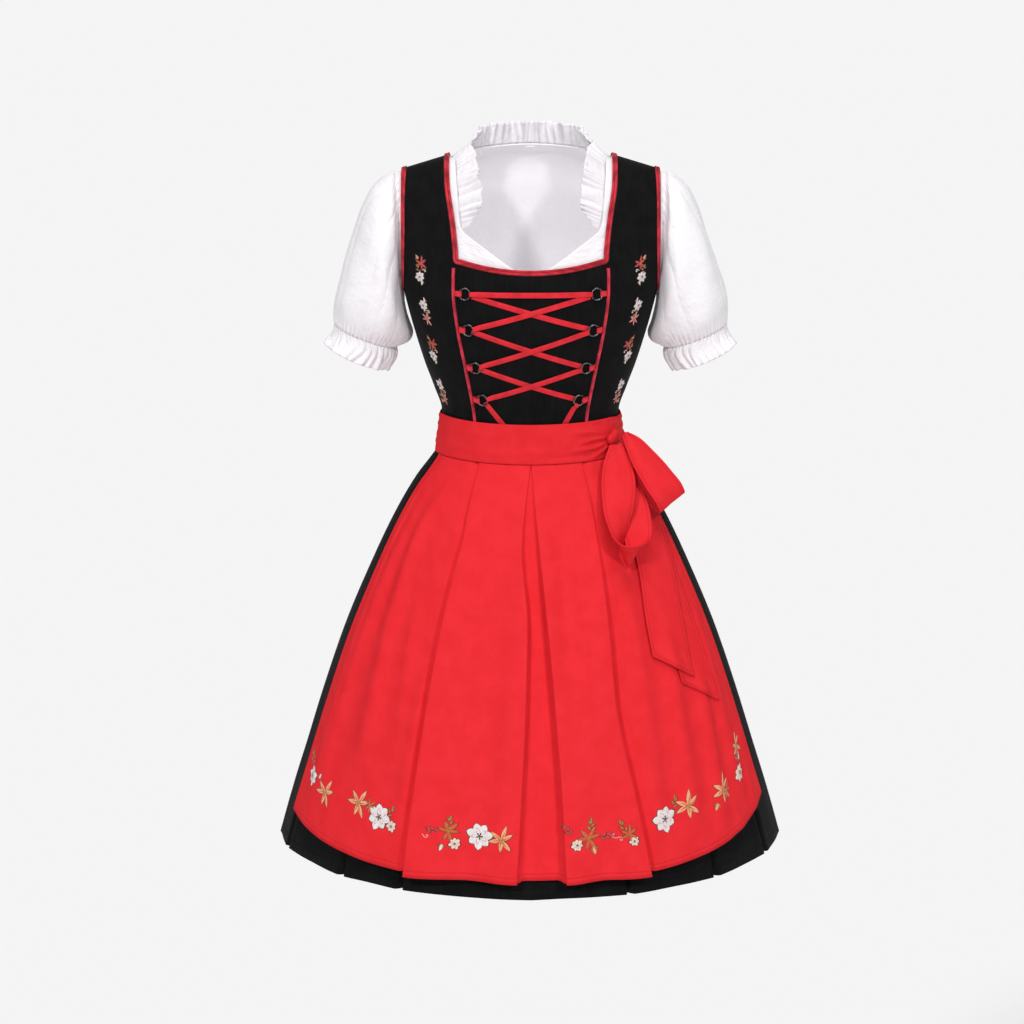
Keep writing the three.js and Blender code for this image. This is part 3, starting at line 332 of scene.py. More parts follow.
class Signal:
    """A shader value that maths can be written on."""

    __add__, __sub__, __mul__, __lt__ = map(maths, ("ADD", "SUBTRACT", "MULTIPLY", "LESS_THAN"))
    __abs__, sine, fraction = map(maths, ("ABSOLUTE", "SINE", "FRACT"))
    __rsub__ = maths("SUBTRACT", True)

    def __init__(self, recipe: "Recipe", socket: bpy.types.NodeSocket) -> None:
        """Wrap one output socket of a recipe's nodes."""
        self.recipe = recipe
        self.socket = socket

    def ramp(self, low: float, high: float) -> "Signal":
        """Ease from 0 at low to 1 at high."""
        return self.recipe.add("ShaderNodeMapRange", {"interpolation_type": "SMOOTHSTEP"},
                               {"Value": self, "From Min": low, "From Max": high})


class Recipe:
    """The nodes of one material."""

    def __init__(self, name: str) -> None:
        """Start a material with its Principled shader and output.

        Args:
            name: Name of the material.
        """
        self.material = bpy.data.materials.new(name)
        self.material.use_nodes = True
        self.tree = self.material.node_tree
        self.tree.nodes.clear()
        self.shader = self.tree.nodes.new("ShaderNodeBsdfPrincipled")
        output = self.tree.nodes.new("ShaderNodeOutputMaterial")
        self.tree.links.new(self.shader.outputs["BSDF"], output.inputs["Surface"])

    def add(self, kind: str, settings: dict[str, object], inputs: dict[object, object],
            output: object = 0) -> Signal:
        """Add a node.

        Args:
            kind: The node's type.
            settings: Its own settings, which are set first.
            inputs: A value or a signal for each socket, by name or number.
            output: The output socket to hand on, by name or number.

        Returns:
            The output as a signal.
        """
        node = self.tree.nodes.new(kind)
        for name, value in settings.items():
            setattr(node, name, value)
        for name, value in inputs.items():
            self.feed(node.inputs[name], value)
        return Signal(self, node.outputs[output])

    def feed(self, socket: bpy.types.NodeSocket, value: object) -> None:
        """Link a signal to a socket, or set the socket's own value.

        Args:
            socket: The socket.
            value: The signal or the value.
        """
        if isinstance(value, Signal):
            self.tree.links.new(value.socket, socket)
        else:
            socket.default_value = value

    def surface(self, **values: object) -> None:
        """Set the shader's sockets; an underscore in a name stands for a space."""
        for name, value in values.items():
            self.feed(self.shader.inputs[name.replace("_", " ")], value)

    def across_and_down(self) -> tuple[Signal, Signal]:
        """The cloth's own coordinates in metres, across it and along it.

        Returns:
            The two coordinates.
        """
        grid = self.add("ShaderNodeUVMap", {"uv_map": "weave"}, {})
        split = self.add("ShaderNodeSeparateXYZ", {}, {"Vector": grid})
        return split, Signal(self, split.socket.node.outputs["Y"])

    def cloud(self, size: float, detail: float = 2.0, stretch: tuple[float, float] = (1, 1)) -> Signal:
        """Noise on the cloth's own coordinates, with lumps of a size in metres.

        Args:
            size: Size of a lump, in metres.
            detail: How many finer layers it has.
            stretch: Factors on the two coordinates.

        Returns:
            The noise.
        """
        grid = self.add("ShaderNodeUVMap", {"uv_map": "weave"}, {})
        scaled = self.add("ShaderNodeMapping", {}, {"Vector": grid, "Scale": (stretch[0], stretch[1], 1)})
        return self.add("ShaderNodeTexNoise", {"noise_dimensions": "2D"},
                        {"Vector": scaled, "Scale": 1 / size, "Detail": detail, "Roughness": 0.55})

    def blend(self, share: object, first: tuple, second: tuple) -> Signal:
        """A colour between two."""
        return self.add("ShaderNodeMix", {"data_type": "RGBA"},
                        {"Factor": share, 6: as_rgba(first), 7: as_rgba(second)}, 2)

    def bump(self, height: object, depth: float, strength: float, over: Optional[Signal] = None) -> Signal:
        """A normal from a height; depth is what a height of one stands for, in metres.

        Args:
            height: The height.
            depth: What a height of one stands for, in metres.
            strength: Strength of the effect.
            over: A normal to build on.

        Returns:
            The normal.
        """
        inputs = {"Height": height, "Distance": depth, "Strength": strength}
        if over is not None:
            inputs["Normal"] = over
        return self.add("ShaderNodeBump", {}, inputs)


def as_rgba(colour: object) -> object:
    """A colour with its alpha, or a signal as it is."""
    return colour if isinstance(colour, Signal) else (*colour, 1.0)


# ---- finishes

@dataclass(frozen=True)
class Dyed:
    """A finish that drifts between two tones.

    Attributes:
        name: Name of the material.
        colour: Its lighter tone.
        shade: The deeper tone it drifts to at random, which also serves as painted shade in its grooves, at
            its edges and between threads.
    """

    name: str
    colour: Triple
    shade: Triple

    def dress(self, recipe: Recipe, across: Signal, down: Signal) -> None:
        """Fill in the recipe; every finish has its own way.

        Args:
            recipe: The material's nodes.
            across: Distance across the cloth, in metres.
            down: Distance along the cloth, in metres.
        """
        raise NotImplementedError

    def material(self) -> bpy.types.Material:
        """Make the material.

        Returns:
            The material.
        """
        recipe = Recipe(self.name)
        self.dress(recipe, *recipe.across_and_down())
        return recipe.material


@dataclass(frozen=True)
class WovenCloth(Dyed):
    """Woven cloth with its threads, a slight unevenness, its crinkle and its hem stitching.

    Attributes:
        thread: Width of a thread, in metres.
        twill: Whether the weave runs in diagonal lines.
        crinkle: Depth of its crinkle, in metres.
        roughness: How matt it is.
        sheen: Strength of the nap's soft gloss.
        gloss: Specular level.
        stitched: Distance of a line of stitches from a hem, in metres, or 0 for none.
        slub: How much its uneven threads show, from 0 to 1.
        glow: Strength of an emission that paints light on it, standing in for light that comes through it
            from behind.
    """

    thread: float = 0.0005
    twill: bool = False
    crinkle: float = 0.0
    roughness: float = 0.85
    sheen: float = 0.1
    gloss: float = 0.15
    stitched: float = 0.0
    slub: float = 0.4
    glow: float = 0.0

    def dress(self, recipe: Recipe, across: Signal, down: Signal) -> None:
        """Fill in the recipe, as in Dyed.

        Args:
            recipe: The material's nodes.
            across: Distance across the cloth, in metres.
            down: Distance along the cloth, in metres.
        """
        turn = 2 * math.pi / (2 * self.thread)
        if self.twill:
            weave = ((across + down) * turn).sine()
        else:
            weave = (across * turn).sine() * (down * turn).sine()
        drift = recipe.cloud(0.03, 3)
        slub = recipe.cloud(0.004, 2, (1, 0.12))
        tone = (drift * (1 - self.slub) + slub * self.slub).ramp(0.3, 0.7)
        colour = recipe.blend(tone, self.shade, self.colour)
        normal = recipe.bump(weave * 0.5 + slub * self.slub, 0.00012, 0.5)
        if self.crinkle:
            lumps = recipe.cloud(0.007, 3) + recipe.cloud(0.02, 2) * 1.4
            normal = recipe.bump(lumps, self.crinkle, 0.8, normal)
        if self.stitched:
            edge = recipe.add("ShaderNodeAttribute", {"attribute_name": "edge"}, {}, "Fac")
            row = (abs(edge - self.stitched)) < 0.0005
            dash = ((across + down) * (1 / 0.0036)).fraction() < 0.7
            dent = 1 - abs(edge - self.stitched).ramp(0.0004, 0.0022)
            normal = recipe.bump(row * dash - dent, 0.0005, 0.9, normal)
            # Painted shade: the colour darkens along the stitches' dent.
            colour = recipe.blend(dent * 0.35, colour, self.shade)
        # The emission is painted light: it brightens the cloth as if light came through it from behind.
        recipe.surface(Base_Color=colour, Roughness=drift * 0.12 + (self.roughness - 0.06), Normal=normal,
                       Sheen_Weight=self.sheen, Sheen_Roughness=0.45, Specular_IOR_Level=self.gloss,
                       Emission_Color=(0.95, 0.92, 0.95, 1), Emission_Strength=self.glow)


@dataclass(frozen=True)
class RibbonCloth(Dyed):
    """A flat ribbon or folded tape, with fine ribs across it and a firm edge on both sides, which is darkened
    with painted shade.
    """

    half_width: float
    rib: float = 0.0006
    groove: bool = False
    sewn: bool = False

    def dress(self, recipe: Recipe, across: Signal, down: Signal) -> None:
        """Fill in the recipe, as in Dyed.

        Args:
            recipe: The material's nodes.
            across: Distance across the cloth, in metres.
            down: Distance along the cloth, in metres.
        """
        if self.sewn:
            across, down = down - self.half_width, across
        rib = (down * (2 * math.pi / self.rib)).sine()
        drift = recipe.cloud(0.02, 2)
        edge = abs(across).ramp(self.half_width * 0.72, self.half_width)
        colour = recipe.blend(drift.ramp(0.3, 0.7), self.shade, self.colour)
        # Painted shade: both edges are blended toward the shade tone.
        colour = recipe.blend(edge * 0.55, colour, self.shade)
        height = rib * 0.35 + edge * 0.6
        if self.groove:
            line = 1 - abs(across).ramp(0.0004, 0.0013)
            dash = (down * (1 / 0.003)).fraction() < 0.72
            height = height - line + line * dash * 0.8
            # Painted shade: the sewn groove down the middle darkens toward the shade tone.
            colour = recipe.blend(line * 0.8, colour, self.shade)
        recipe.surface(Base_Color=colour, Roughness=drift * 0.1 + 0.5,
                       Normal=recipe.bump(height, 0.0002, 0.7),
                       Sheen_Weight=0.1, Sheen_Roughness=0.4, Specular_IOR_Level=0.25)


@dataclass(frozen=True)
class SatinStitch(Dyed):
    """Embroidery thread laid side by side, with painted shade between the threads."""

    def dress(self, recipe: Recipe, across: Signal, down: Signal) -> None:
        """Fill in the recipe, as in Dyed.

        Args:
            recipe: The material's nodes.
            across: Distance across the cloth, in metres.
            down: Distance along the cloth, in metres.
        """
        thread = (down * (2 * math.pi / 0.0007) + across * 900).sine()
        tone = recipe.cloud(0.003, 1)
        # Painted shade between the threads, in step with the bump's grooves, over a random tone of the thread
        # itself.
        colour = recipe.blend(thread * 0.25 + tone, self.shade, self.colour)
        recipe.surface(Base_Color=colour, Roughness=0.42, Normal=recipe.bump(thread, 0.00015, 0.8),
                       Sheen_Weight=0.15, Specular_IOR_Level=0.35)


@dataclass(frozen=True)
class AntiqueMetal:
    """Silver-coloured wire with dark patina and bright rubbed metal in noise patches."""

    name: str
    bright: Triple
    dark: Triple

    def material(self) -> bpy.types.Material:
        """Make the material.

        Returns:
            The material.
        """
        recipe = Recipe(self.name)
        place = recipe.add("ShaderNodeTexCoord", {}, {}, "Object")
        patina = recipe.add("ShaderNodeTexNoise", {}, {"Vector": place, "Scale": 700, "Detail": 3})
        dents = recipe.add("ShaderNodeTexNoise", {}, {"Vector": place, "Scale": 1500, "Detail": 1})
        colour = recipe.blend(patina.ramp(0.35, 0.62), self.dark, self.bright)
        recipe.surface(Base_Color=colour, Metallic=1.0, Roughness=patina * 0.25 + 0.16,
                       Normal=recipe.bump(dents, 0.00008, 0.5))
        return recipe.material


@dataclass(frozen=True)
class PaleBoard:
    """The studio's floor."""

    name: str = "pale_floor"

    def material(self) -> bpy.types.Material:
        """Make the material.

        Returns:
            The material.
        """
        recipe = Recipe(self.name)
        recipe.surface(Base_Color=(0.94, 0.94, 0.94, 1), Roughness=0.95, Specular_IOR_Level=0.0)
        return recipe.material


class Finish(Enum):
    """Every finish of the set."""

    BLACK = WovenCloth("black_dress_cloth", (0.0068, 0.0068, 0.0074), (0.0036, 0.0036, 0.004), twill=True,
                       roughness=0.88, sheen=0.02, gloss=0.09, stitched=0.016)
    RED = WovenCloth("red_apron_cloth", (0.755, 0.025, 0.034), (0.715, 0.021, 0.028), thread=0.0004,
                     roughness=0.7, sheen=0.0, gloss=0.05, stitched=0.009, slub=0.12)
    TIE = WovenCloth("red_tie_cloth", (0.755, 0.025, 0.034), (0.715, 0.021, 0.028), thread=0.0004,
                     roughness=0.68, sheen=0.0, gloss=0.06, stitched=0.0045, slub=0.12)
    # The white cotton's small emission is painted light on every white part.
    WHITE = WovenCloth("white_blouse_cotton", (0.9, 0.872, 0.905), (0.87, 0.842, 0.875), thread=0.0004,
                       crinkle=0.0009, roughness=0.9, sheen=0.1, gloss=0.12, glow=0.025)
    # Painted light: the white cotton again with strong emission, so the blouse's inner face, facing and label
    # look brightly lit.
    LINING = WovenCloth("sunlit_blouse_cotton", (0.9, 0.87, 0.91), (0.87, 0.84, 0.88), thread=0.0004,
                        crinkle=0.0006, roughness=0.9, sheen=0.0, gloss=0.05, glow=0.24)
    # The tapes' dark shade tones are also their painted shade, at the edges and in the binding's groove.
    TRIM = RibbonCloth("red_binding_tape", (0.72, 0.03, 0.055), (0.3, 0.006, 0.014), 0.0044, groove=True,
                       sewn=True)
    PIPING = RibbonCloth("red_piping", (0.7, 0.035, 0.07), (0.36, 0.012, 0.028), 0.0038, sewn=True)
    LACE = RibbonCloth("red_lacing_ribbon", (0.78, 0.02, 0.035), (0.6, 0.012, 0.022), 0.004)
    METAL = AntiqueMetal("antique_silver_wire", (0.2, 0.2, 0.21), (0.014, 0.014, 0.016))
    PEACH = SatinStitch("peach_thread", (0.93, 0.5, 0.27), (0.78, 0.27, 0.11))
    ORANGE = SatinStitch("orange_thread", (0.75, 0.16, 0.04), (0.5, 0.07, 0.02))
    CREAM = SatinStitch("cream_thread", (0.93, 0.83, 0.74), (0.78, 0.55, 0.42))
    IVORY = SatinStitch("white_thread", (0.95, 0.93, 0.92), (0.72, 0.62, 0.6))
    PINK = SatinStitch("pink_thread", (0.88, 0.42, 0.42), (0.62, 0.2, 0.22))
    OLIVE = SatinStitch("olive_gold_thread", (0.5, 0.32, 0.07), (0.24, 0.14, 0.03))
    BROWN = SatinStitch("brown_thread", (0.1, 0.035, 0.025), (0.03, 0.012, 0.012))
    ROSE = SatinStitch("rose_thread", (0.7, 0.08, 0.08), (0.42, 0.02, 0.03))

    def material(self) -> bpy.types.Material:
        """The material, made when it is first asked for."""
        return bpy.data.materials.get(self.value.name) or self.value.material()


class Hem(Enum):
    """Which edge of a cut piece is hemmed."""

    FIRST = "its first row"
    LAST = "its last row"
    SIDES = "both its sides"


class Held(Enum):
    """How a sheet of cloth is held."""

    HUNG = "hung"
    GATHERED = "gathered"
    FOLDED = "folded"
    STRETCHED = "stretched"
    LAID = "laid"


# ---- cloth on a grid

def grid_normals(points: Array, ring: bool = False, turn: int = 0) -> Array:
    """Normals of a grid of points.

    Args:
        points: Rows and columns of points.
        ring: Whether the last column lies on the first.
        turn: 1 or -1 fixes the side; 0 turns them away from the body's or the ring's own middle.

    Returns:
        A unit vector for each point.
    """
    wide = points
    if ring:
        wide = np.concatenate([points[:, -2:-1], points, points[:, 1:2]], axis=1)
        across = wide[:, 2:] - wide[:, :-2]
    else:
        across = np.gradient(points, axis=1)
    normals = unit(np.cross(across, np.gradient(points, axis=0)))
    if turn:
        return normals * turn
    middle = points.mean(axis=1, keepdims=True) if ring else points * (0, 0, 1)
    return normals * (1 if np.sum(normals * (points - middle)) > 0 else -1)


def lifted(points: Array, relief: Array, ring: bool = False, turn: int = 0) -> Array:
    """A grid's points moved out along its own normals."""
    return points + grid_normals(points, ring, turn) * relief[..., None]


def mesh_of(shape: bmesh.types.BMesh, name: str) -> bpy.types.Mesh:
    """A mesh made from a bmesh, which is freed.

    Args:
        shape: The bmesh.
        name: Name of the mesh.

    Returns:
        The mesh.
    """
    mesh = bpy.data.meshes.new(name)
    shape.to_mesh(mesh)
    shape.free()
    return mesh


def linked(name: str, data: bpy.types.ID) -> Piece:
    """A new object in the scene.

    Args:
        name: Name of the object.
        data: The object's data.

    Returns:
        The object.
    """
    piece = bpy.data.objects.new(name, data)
    bpy.context.scene.collection.objects.link(piece)
    return piece


def smoothed(mesh: bpy.types.Mesh) -> Piece:
    """A new object with smooth faces, under its mesh's name.

    Args:
        mesh: The mesh.

    Returns:
        The object.
    """
    mesh.polygons.foreach_set("use_smooth", np.ones(len(mesh.polygons), bool))
    LOG.info("%s: %d faces", mesh.name, len(mesh.polygons))
    return linked(mesh.name, mesh)


def vertices(mesh: bpy.types.Mesh) -> Array:
    """Places of a mesh's vertices, one a row.

    Args:
        mesh: The mesh.

    Returns:
        One row for each vertex.
    """
    flat = np.empty(len(mesh.vertices) * 3)
    mesh.vertices.foreach_get("co", flat)
    return flat.reshape(-1, 3)


@dataclass
class Cloth:
    """One cut piece of cloth on a grid of points, in millimetres.

    Attributes:
        node: The solid that it stands for.
        points: Rows of points; the first row is the hem or the free end.
        thickness: Thickness of the cloth, which grows inwards from the points.
        finish: Its finish.
        held: How it is held, or None for a trim that goes with another piece.
        rests_on: What it lies on; not used.
        ring: Whether its last column is sewn to its first.
        turn: Which way its right side faces, as in grid_normals.
        trims: Pieces that go with it; not used.
        hems: Which edges are hemmed.
        lining: Finish of its inner face, where that differs.
        kind: What its name ends with.
    """

    node: str
    points: Array
    thickness: float
    finish: Finish
    held: Optional[Held] = None
    rests_on: tuple[str, ...] = ()
    ring: bool = False
    turn: int = 0
    trims: Sequence[Piece] = ()
    hems: tuple[Hem, ...] = ()
    lining: Optional[Finish] = None
    kind: str = "cloth"

    def pattern(self, points: Array) -> tuple[Array, Array, Array]:
        """The cloth's own coordinates, and the distance from its hems, in metres.

        Args:
            points: Rows of points.

        Returns:
            Distance across from the middle, distance down, and distance from the nearest hem.
        """
        across = np.cumsum(np.linalg.norm(np.diff(points, axis=1, prepend=points[:, :1]), axis=2), axis=1)
        down = np.cumsum(np.linalg.norm(np.diff(points, axis=0, prepend=points[:1]), axis=2), axis=0)
        edges = {Hem.FIRST: down, Hem.LAST: down[-1:] - down,
                 Hem.SIDES: np.minimum(across, across[:, -1:] - across)}
        edge = np.full(across.shape, NO_HEM)
        for hem in self.hems:
            edge = np.minimum(edge, edges[hem])
        return (across - across[:, -1:] / 2) * MM, down * MM, edge * MM

    def build(self) -> Piece:
        """Returns:
            The finished object.
        """
        points = self.points
        normals = grid_normals(points, self.ring, self.turn)
        plain = np.cross(np.gradient(points, axis=1), np.gradient(points, axis=0))
        if np.sum(plain * normals) < 0:
            points = points[:, ::-1]
        rows, columns = points.shape[:2]
        shape = bmesh.new()
        shape.loops.layers.uv.new("weave")
        bmesh.ops.create_grid(shape, x_segments=columns - 1, y_segments=rows - 1, size=0.5, calc_uvs=True)
        mesh = bpy.data.meshes.new(f"{self.node}_{self.kind}")
        shape.to_mesh(mesh)
        flat = vertices(mesh) + 0.5
        column = np.rint(flat[:, 0] * (columns - 1)).astype(int)
        row = np.rint(flat[:, 1] * (rows - 1)).astype(int)
        mesh.vertices.foreach_set("co", (points[row, column] * MM).ravel())
        across, down, edge = self.pattern(points)
        mesh.attributes.new("edge", "FLOAT", "POINT").data.foreach_set("value", edge[row, column])
        corner = np.empty(len(mesh.loops), int)
        mesh.loops.foreach_get("vertex_index", corner)
        own = np.stack([across[row, column], down[row, column]], axis=1)
        mesh.uv_layers["weave"].data.foreach_set("uv", own[corner].ravel())
        if self.ring:
            shape.clear()
            shape.from_mesh(mesh)
            bmesh.ops.remove_doubles(shape, verts=shape.verts, dist=1e-6)
            shape.to_mesh(mesh)
        shape.free()
        piece = smoothed(mesh)
        wall = piece.modifiers.new("thickness", "SOLIDIFY")
        wall.thickness = self.thickness * MM
        wall.offset = -1
        self.declare(piece, float(np.ptp(across, axis=1).max()), float(down[-1].max()))
        if self.lining:
            mesh.materials.append(self.lining.material())
            wall.material_offset = 1
        return piece

    def declare(self, piece: Piece, width: float, length: float) -> None:
        """Give the piece its finish and its body, hide the solid that it stands for, and log its cut.

        Args:
            piece: The object.
            width: Width of the cut, in metres.
            length: Length of the cut, in metres.
        """
        adopt(piece, self.finish, self.node)
        if self.held is None:
            return
        area = sum(face.area for face in piece.data.polygons)
        area = max(LEAST_CUT * width * length, min(width * length, area))
        LOG.info("%s: cut %.0f x %.0f mm, %.4f m2", piece.name, width / MM, length / MM, area)


def adopt(piece: Piece, finish: Finish, node: str) -> None:
    """Give a piece its finish and put it in the frame in a solid's place.

    Args:
        piece: The object.
        finish: Its finish.
        node: The solid that it stands for.
    """
    piece.data.materials.append(finish.material())
    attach(piece, "root")
    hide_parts(node)


@dataclass(frozen=True)
class Rail:
    """A line on the garment, with the garment's normal at each point."""

    points: Array
    normals: Array

    def raised(self, height: Array) -> Array:
        """Its points, moved off the garment."""
        return self.points + self.normals * height

    def fine(self, count: int, ring: bool = False) -> "Rail":
        """The same line in more, evenly spaced points.

        Args:
            count: Number of points.
            ring: Whether its last point joins its first.

        Returns:
            The finer line.
        """
        points, normals = self.points, self.normals
        if ring:
            points = np.concatenate([points, points[:1]])
            normals = np.concatenate([normals, normals[:1]])
        length = lengths_along(points)
        where = np.linspace(0, length[-1], count)
        return Rail(through(length, points, where), unit(through(length, normals, where)))

    def sweep(self, profile: Sequence[tuple[float, float]], ring: bool = False, scale: Array = 1.0,
              rise: Array = 0.0) -> Array:
        """A grid of points from a profile drawn along the rail.

        Args:
            profile: Offsets across the rail and heights off the garment.
            ring: Whether the rail's last point lies on its first.
            scale: A factor on the profile at each point of the rail.
            rise: A further height at each point of the rail.

        Returns:
            Rows of points, one for each point of the rail.
        """
        if ring:
            wide = np.concatenate([self.points[-2:-1], self.points, self.points[1:2]])
            ahead = wide[2:] - wide[:-2]
        else:
            ahead = np.gradient(self.points, axis=0)
        across = unit(np.cross(ahead, self.normals))
        offset, height = np.array(profile).T
        scale, rise = (np.broadcast_to(value, len(across))[:, None] for value in (scale, rise))
        return (self.points[:, None] + across[:, None] * (offset * scale)[..., None]
                + self.normals[:, None] * (height * scale + rise)[..., None])


# ---- the body form

class BodyForm:
    """The form that the bodice and the blouse are cut to, with rounded shoulders and no figure's detail."""

    TURN = -SHOULDER_ROUND + SHOULDER_ROUND * math.pi / 2
    BACK_START = -SHOULDER_ROUND + SHOULDER_ROUND * math.pi

    def __init__(self) -> None:
        """Read the form's curves."""
        self.width, self.front, self.back, self.fullness = (Curve(FORM_ROWS, c) for c in (1, 2, 3, 4))

    def reach(self, level: Array, armhole: float) -> Array:
        """How far a panel goes sideways: to the side seam, or to the armhole above the underarm."""
        return np.minimum(self.width(level), armhole)

    def girth(self, level: Array, back: bool = False) -> Array:
        """The girth coordinate of a level; it runs from the front hem over the shoulder to the back hem.

        Args:
            level: Height below the shoulder line.
            back: Whether it lies on the back.

        Returns:
            The girth coordinate.
        """
        level = np.asarray(level, float)
        over = -SHOULDER_ROUND + SHOULDER_ROUND * np.arcsin(np.clip(1 + level / SHOULDER_ROUND, -1, 1))
        front = np.where(level > -SHOULDER_ROUND, over, level)
        return 2 * self.TURN - front if back else front

    def profile(self, q: Array) -> tuple[Array, Array]:
        """Level and depth at a girth coordinate.

        Args:
            q: Girth coordinate.

        Returns:
            The level and the depth.
        """
        turn = (q + SHOULDER_ROUND) / SHOULDER_ROUND
        behind = -SHOULDER_ROUND - (q - self.BACK_START)
        level = np.where(q >= self.BACK_START, behind, -SHOULDER_ROUND + SHOULDER_ROUND * np.sin(turn))
        level = np.where(q <= -SHOULDER_ROUND, q, level)
        depth = np.where(q >= self.BACK_START, self.back(behind),
                         -self.front(-SHOULDER_ROUND) * np.cos(turn))
        return level, np.where(q <= -SHOULDER_ROUND, -self.front(q), depth)

    def face(self, share: Array, q: Array, armhole: float) -> Array:
        """Points of the form; share runs from 0 at the centre to 1 at the side seam or the armhole.

        Args:
            share: Share of the way from the centre to the side.
            q: Girth coordinate.
            armhole: How far out the armhole lies.

        Returns:
            The points.
        """
        share, q = np.broadcast_arrays(np.asarray(share, float), np.asarray(q, float))
        level, depth = self.profile(q)
        power = self.fullness(level)
        x = np.sign(share) * self.reach(level, armhole) * np.abs(share) ** (2 / power)
        inside = np.maximum(0, 1 - (np.abs(x) / self.width(level)) ** power)
        slope = smoothstep(level, SLOPE_FROM, SLOPE_FULL) * SHOULDER_SLOPE * (STRAP_INNER - beside(x))
        return np.stack([x, depth * inside ** (1 / power), level + slope], axis=-1)

    def place(self, share: Array, q: Array, armhole: float = STRAP_OUTER) -> Rail:
        """Points of the form with their outward normals.

        Args:
            share: Share of the way from the centre to the side.
            q: Girth coordinate.
            armhole: How far out the armhole lies.

        Returns:
            The points and their normals.
        """
        small = 1e-3
        share = np.asarray(share, float)
        q = np.asarray(q, float)
        along = self.face(share, q + 0.1, armhole) - self.face(share, q - 0.1, armhole)
        across = (self.face(np.minimum(1, share + small), q, armhole)
                  - self.face(np.maximum(-1, share - small), q, armhole))
        points = self.face(share, q, armhole)
        normals = unit(np.cross(across, along))
        middle = np.stack([0 * points[..., 0], 0 * points[..., 0], np.minimum(points[..., 2], -120)], axis=-1)
        outward = np.sum(normals * (points - middle), axis=-1, keepdims=True)
        return Rail(points, np.where(outward < 0, -normals, normals))

    def share_of(self, x: Array, q: Array, armhole: float = STRAP_OUTER) -> Array:
        """The share that lies at a distance from the centre line.

        Args:
            x: Distance from the centre line.
            q: Girth coordinate.
            armhole: How far out the armhole lies.

        Returns:
            The share.
        """
        level, _ = self.profile(np.asarray(q, float))
        part = np.minimum(1, np.abs(x) / self.reach(level, armhole))
        return np.sign(x) * part ** (self.fullness(level) / 2)

    def at(self, x: Array, q: Array, armhole: float = STRAP_OUTER) -> Rail:
        """Places given by their distance from the centre line."""
        x, q = np.broadcast_arrays(np.asarray(x, float), np.asarray(q, float))
        return self.place(self.share_of(x, q, armhole), q, armhole)

    def side_grid(self, sign: int, back: bool, levels: Array, inner_edge: Callable, armhole: float,
                  columns: int, lift: float) -> Array:
        """A panel between an inner edge and the side.

        Args:
            sign: 1 on the wearer's left, -1 on the right.
            back: Whether it is a back panel.
            levels: Heights of its rows, from the hem up.
            inner_edge: Distance of its inner edge from the centre line, by height.
            armhole: How far out its armhole lies.
            columns: Number of columns.
            lift: Height off the form.

        Returns:
            Rows of points.
        """
        level = np.asarray(levels, float)[:, None]
        reach = self.reach(level, armhole)
        first = np.arcsin(np.minimum(1, (inner_edge(level) / reach) ** (self.fullness(level) / 2)))
        last = math.pi / 2 - np.where(level < UNDERARM, SEAM_GAP / 2 / self.front(level), 0)
        share = sign * np.sin(mix(first, last, np.linspace(0, 1, columns)[None, :]))
        spot = self.place(share, self.girth(np.minimum(level, -SEAM_GAP / 400), back), armhole)
        return spot.raised(lift)


def on_oval(turn: Array, z: Array, width: Array, depth: Array, off: Array) -> Array:
    """Points beside an oval round the body; turn is in radians from the front.

    Args:
        turn: Angle from the front, in radians.
        z: Height.
        width: The oval's half width.
        depth: The oval's half depth.
        off: Distance off the oval.

    Returns:
        The points.
    """
    normal = np.stack([np.sin(turn) / width, -np.cos(turn) / depth, 0 * turn], axis=-1)
    face = np.stack([width * np.sin(turn), -depth * np.cos(turn), z], axis=-1)
    return face + unit(normal) * off[..., None]


def finer(levels: Sequence[float], parts: int) -> Array:
    """The same levels with more between them."""
    where = np.linspace(0, len(levels) - 1, (len(levels) - 1) * parts + 1)
    return np.interp(where, np.arange(len(levels)), levels)


# ---- bodice

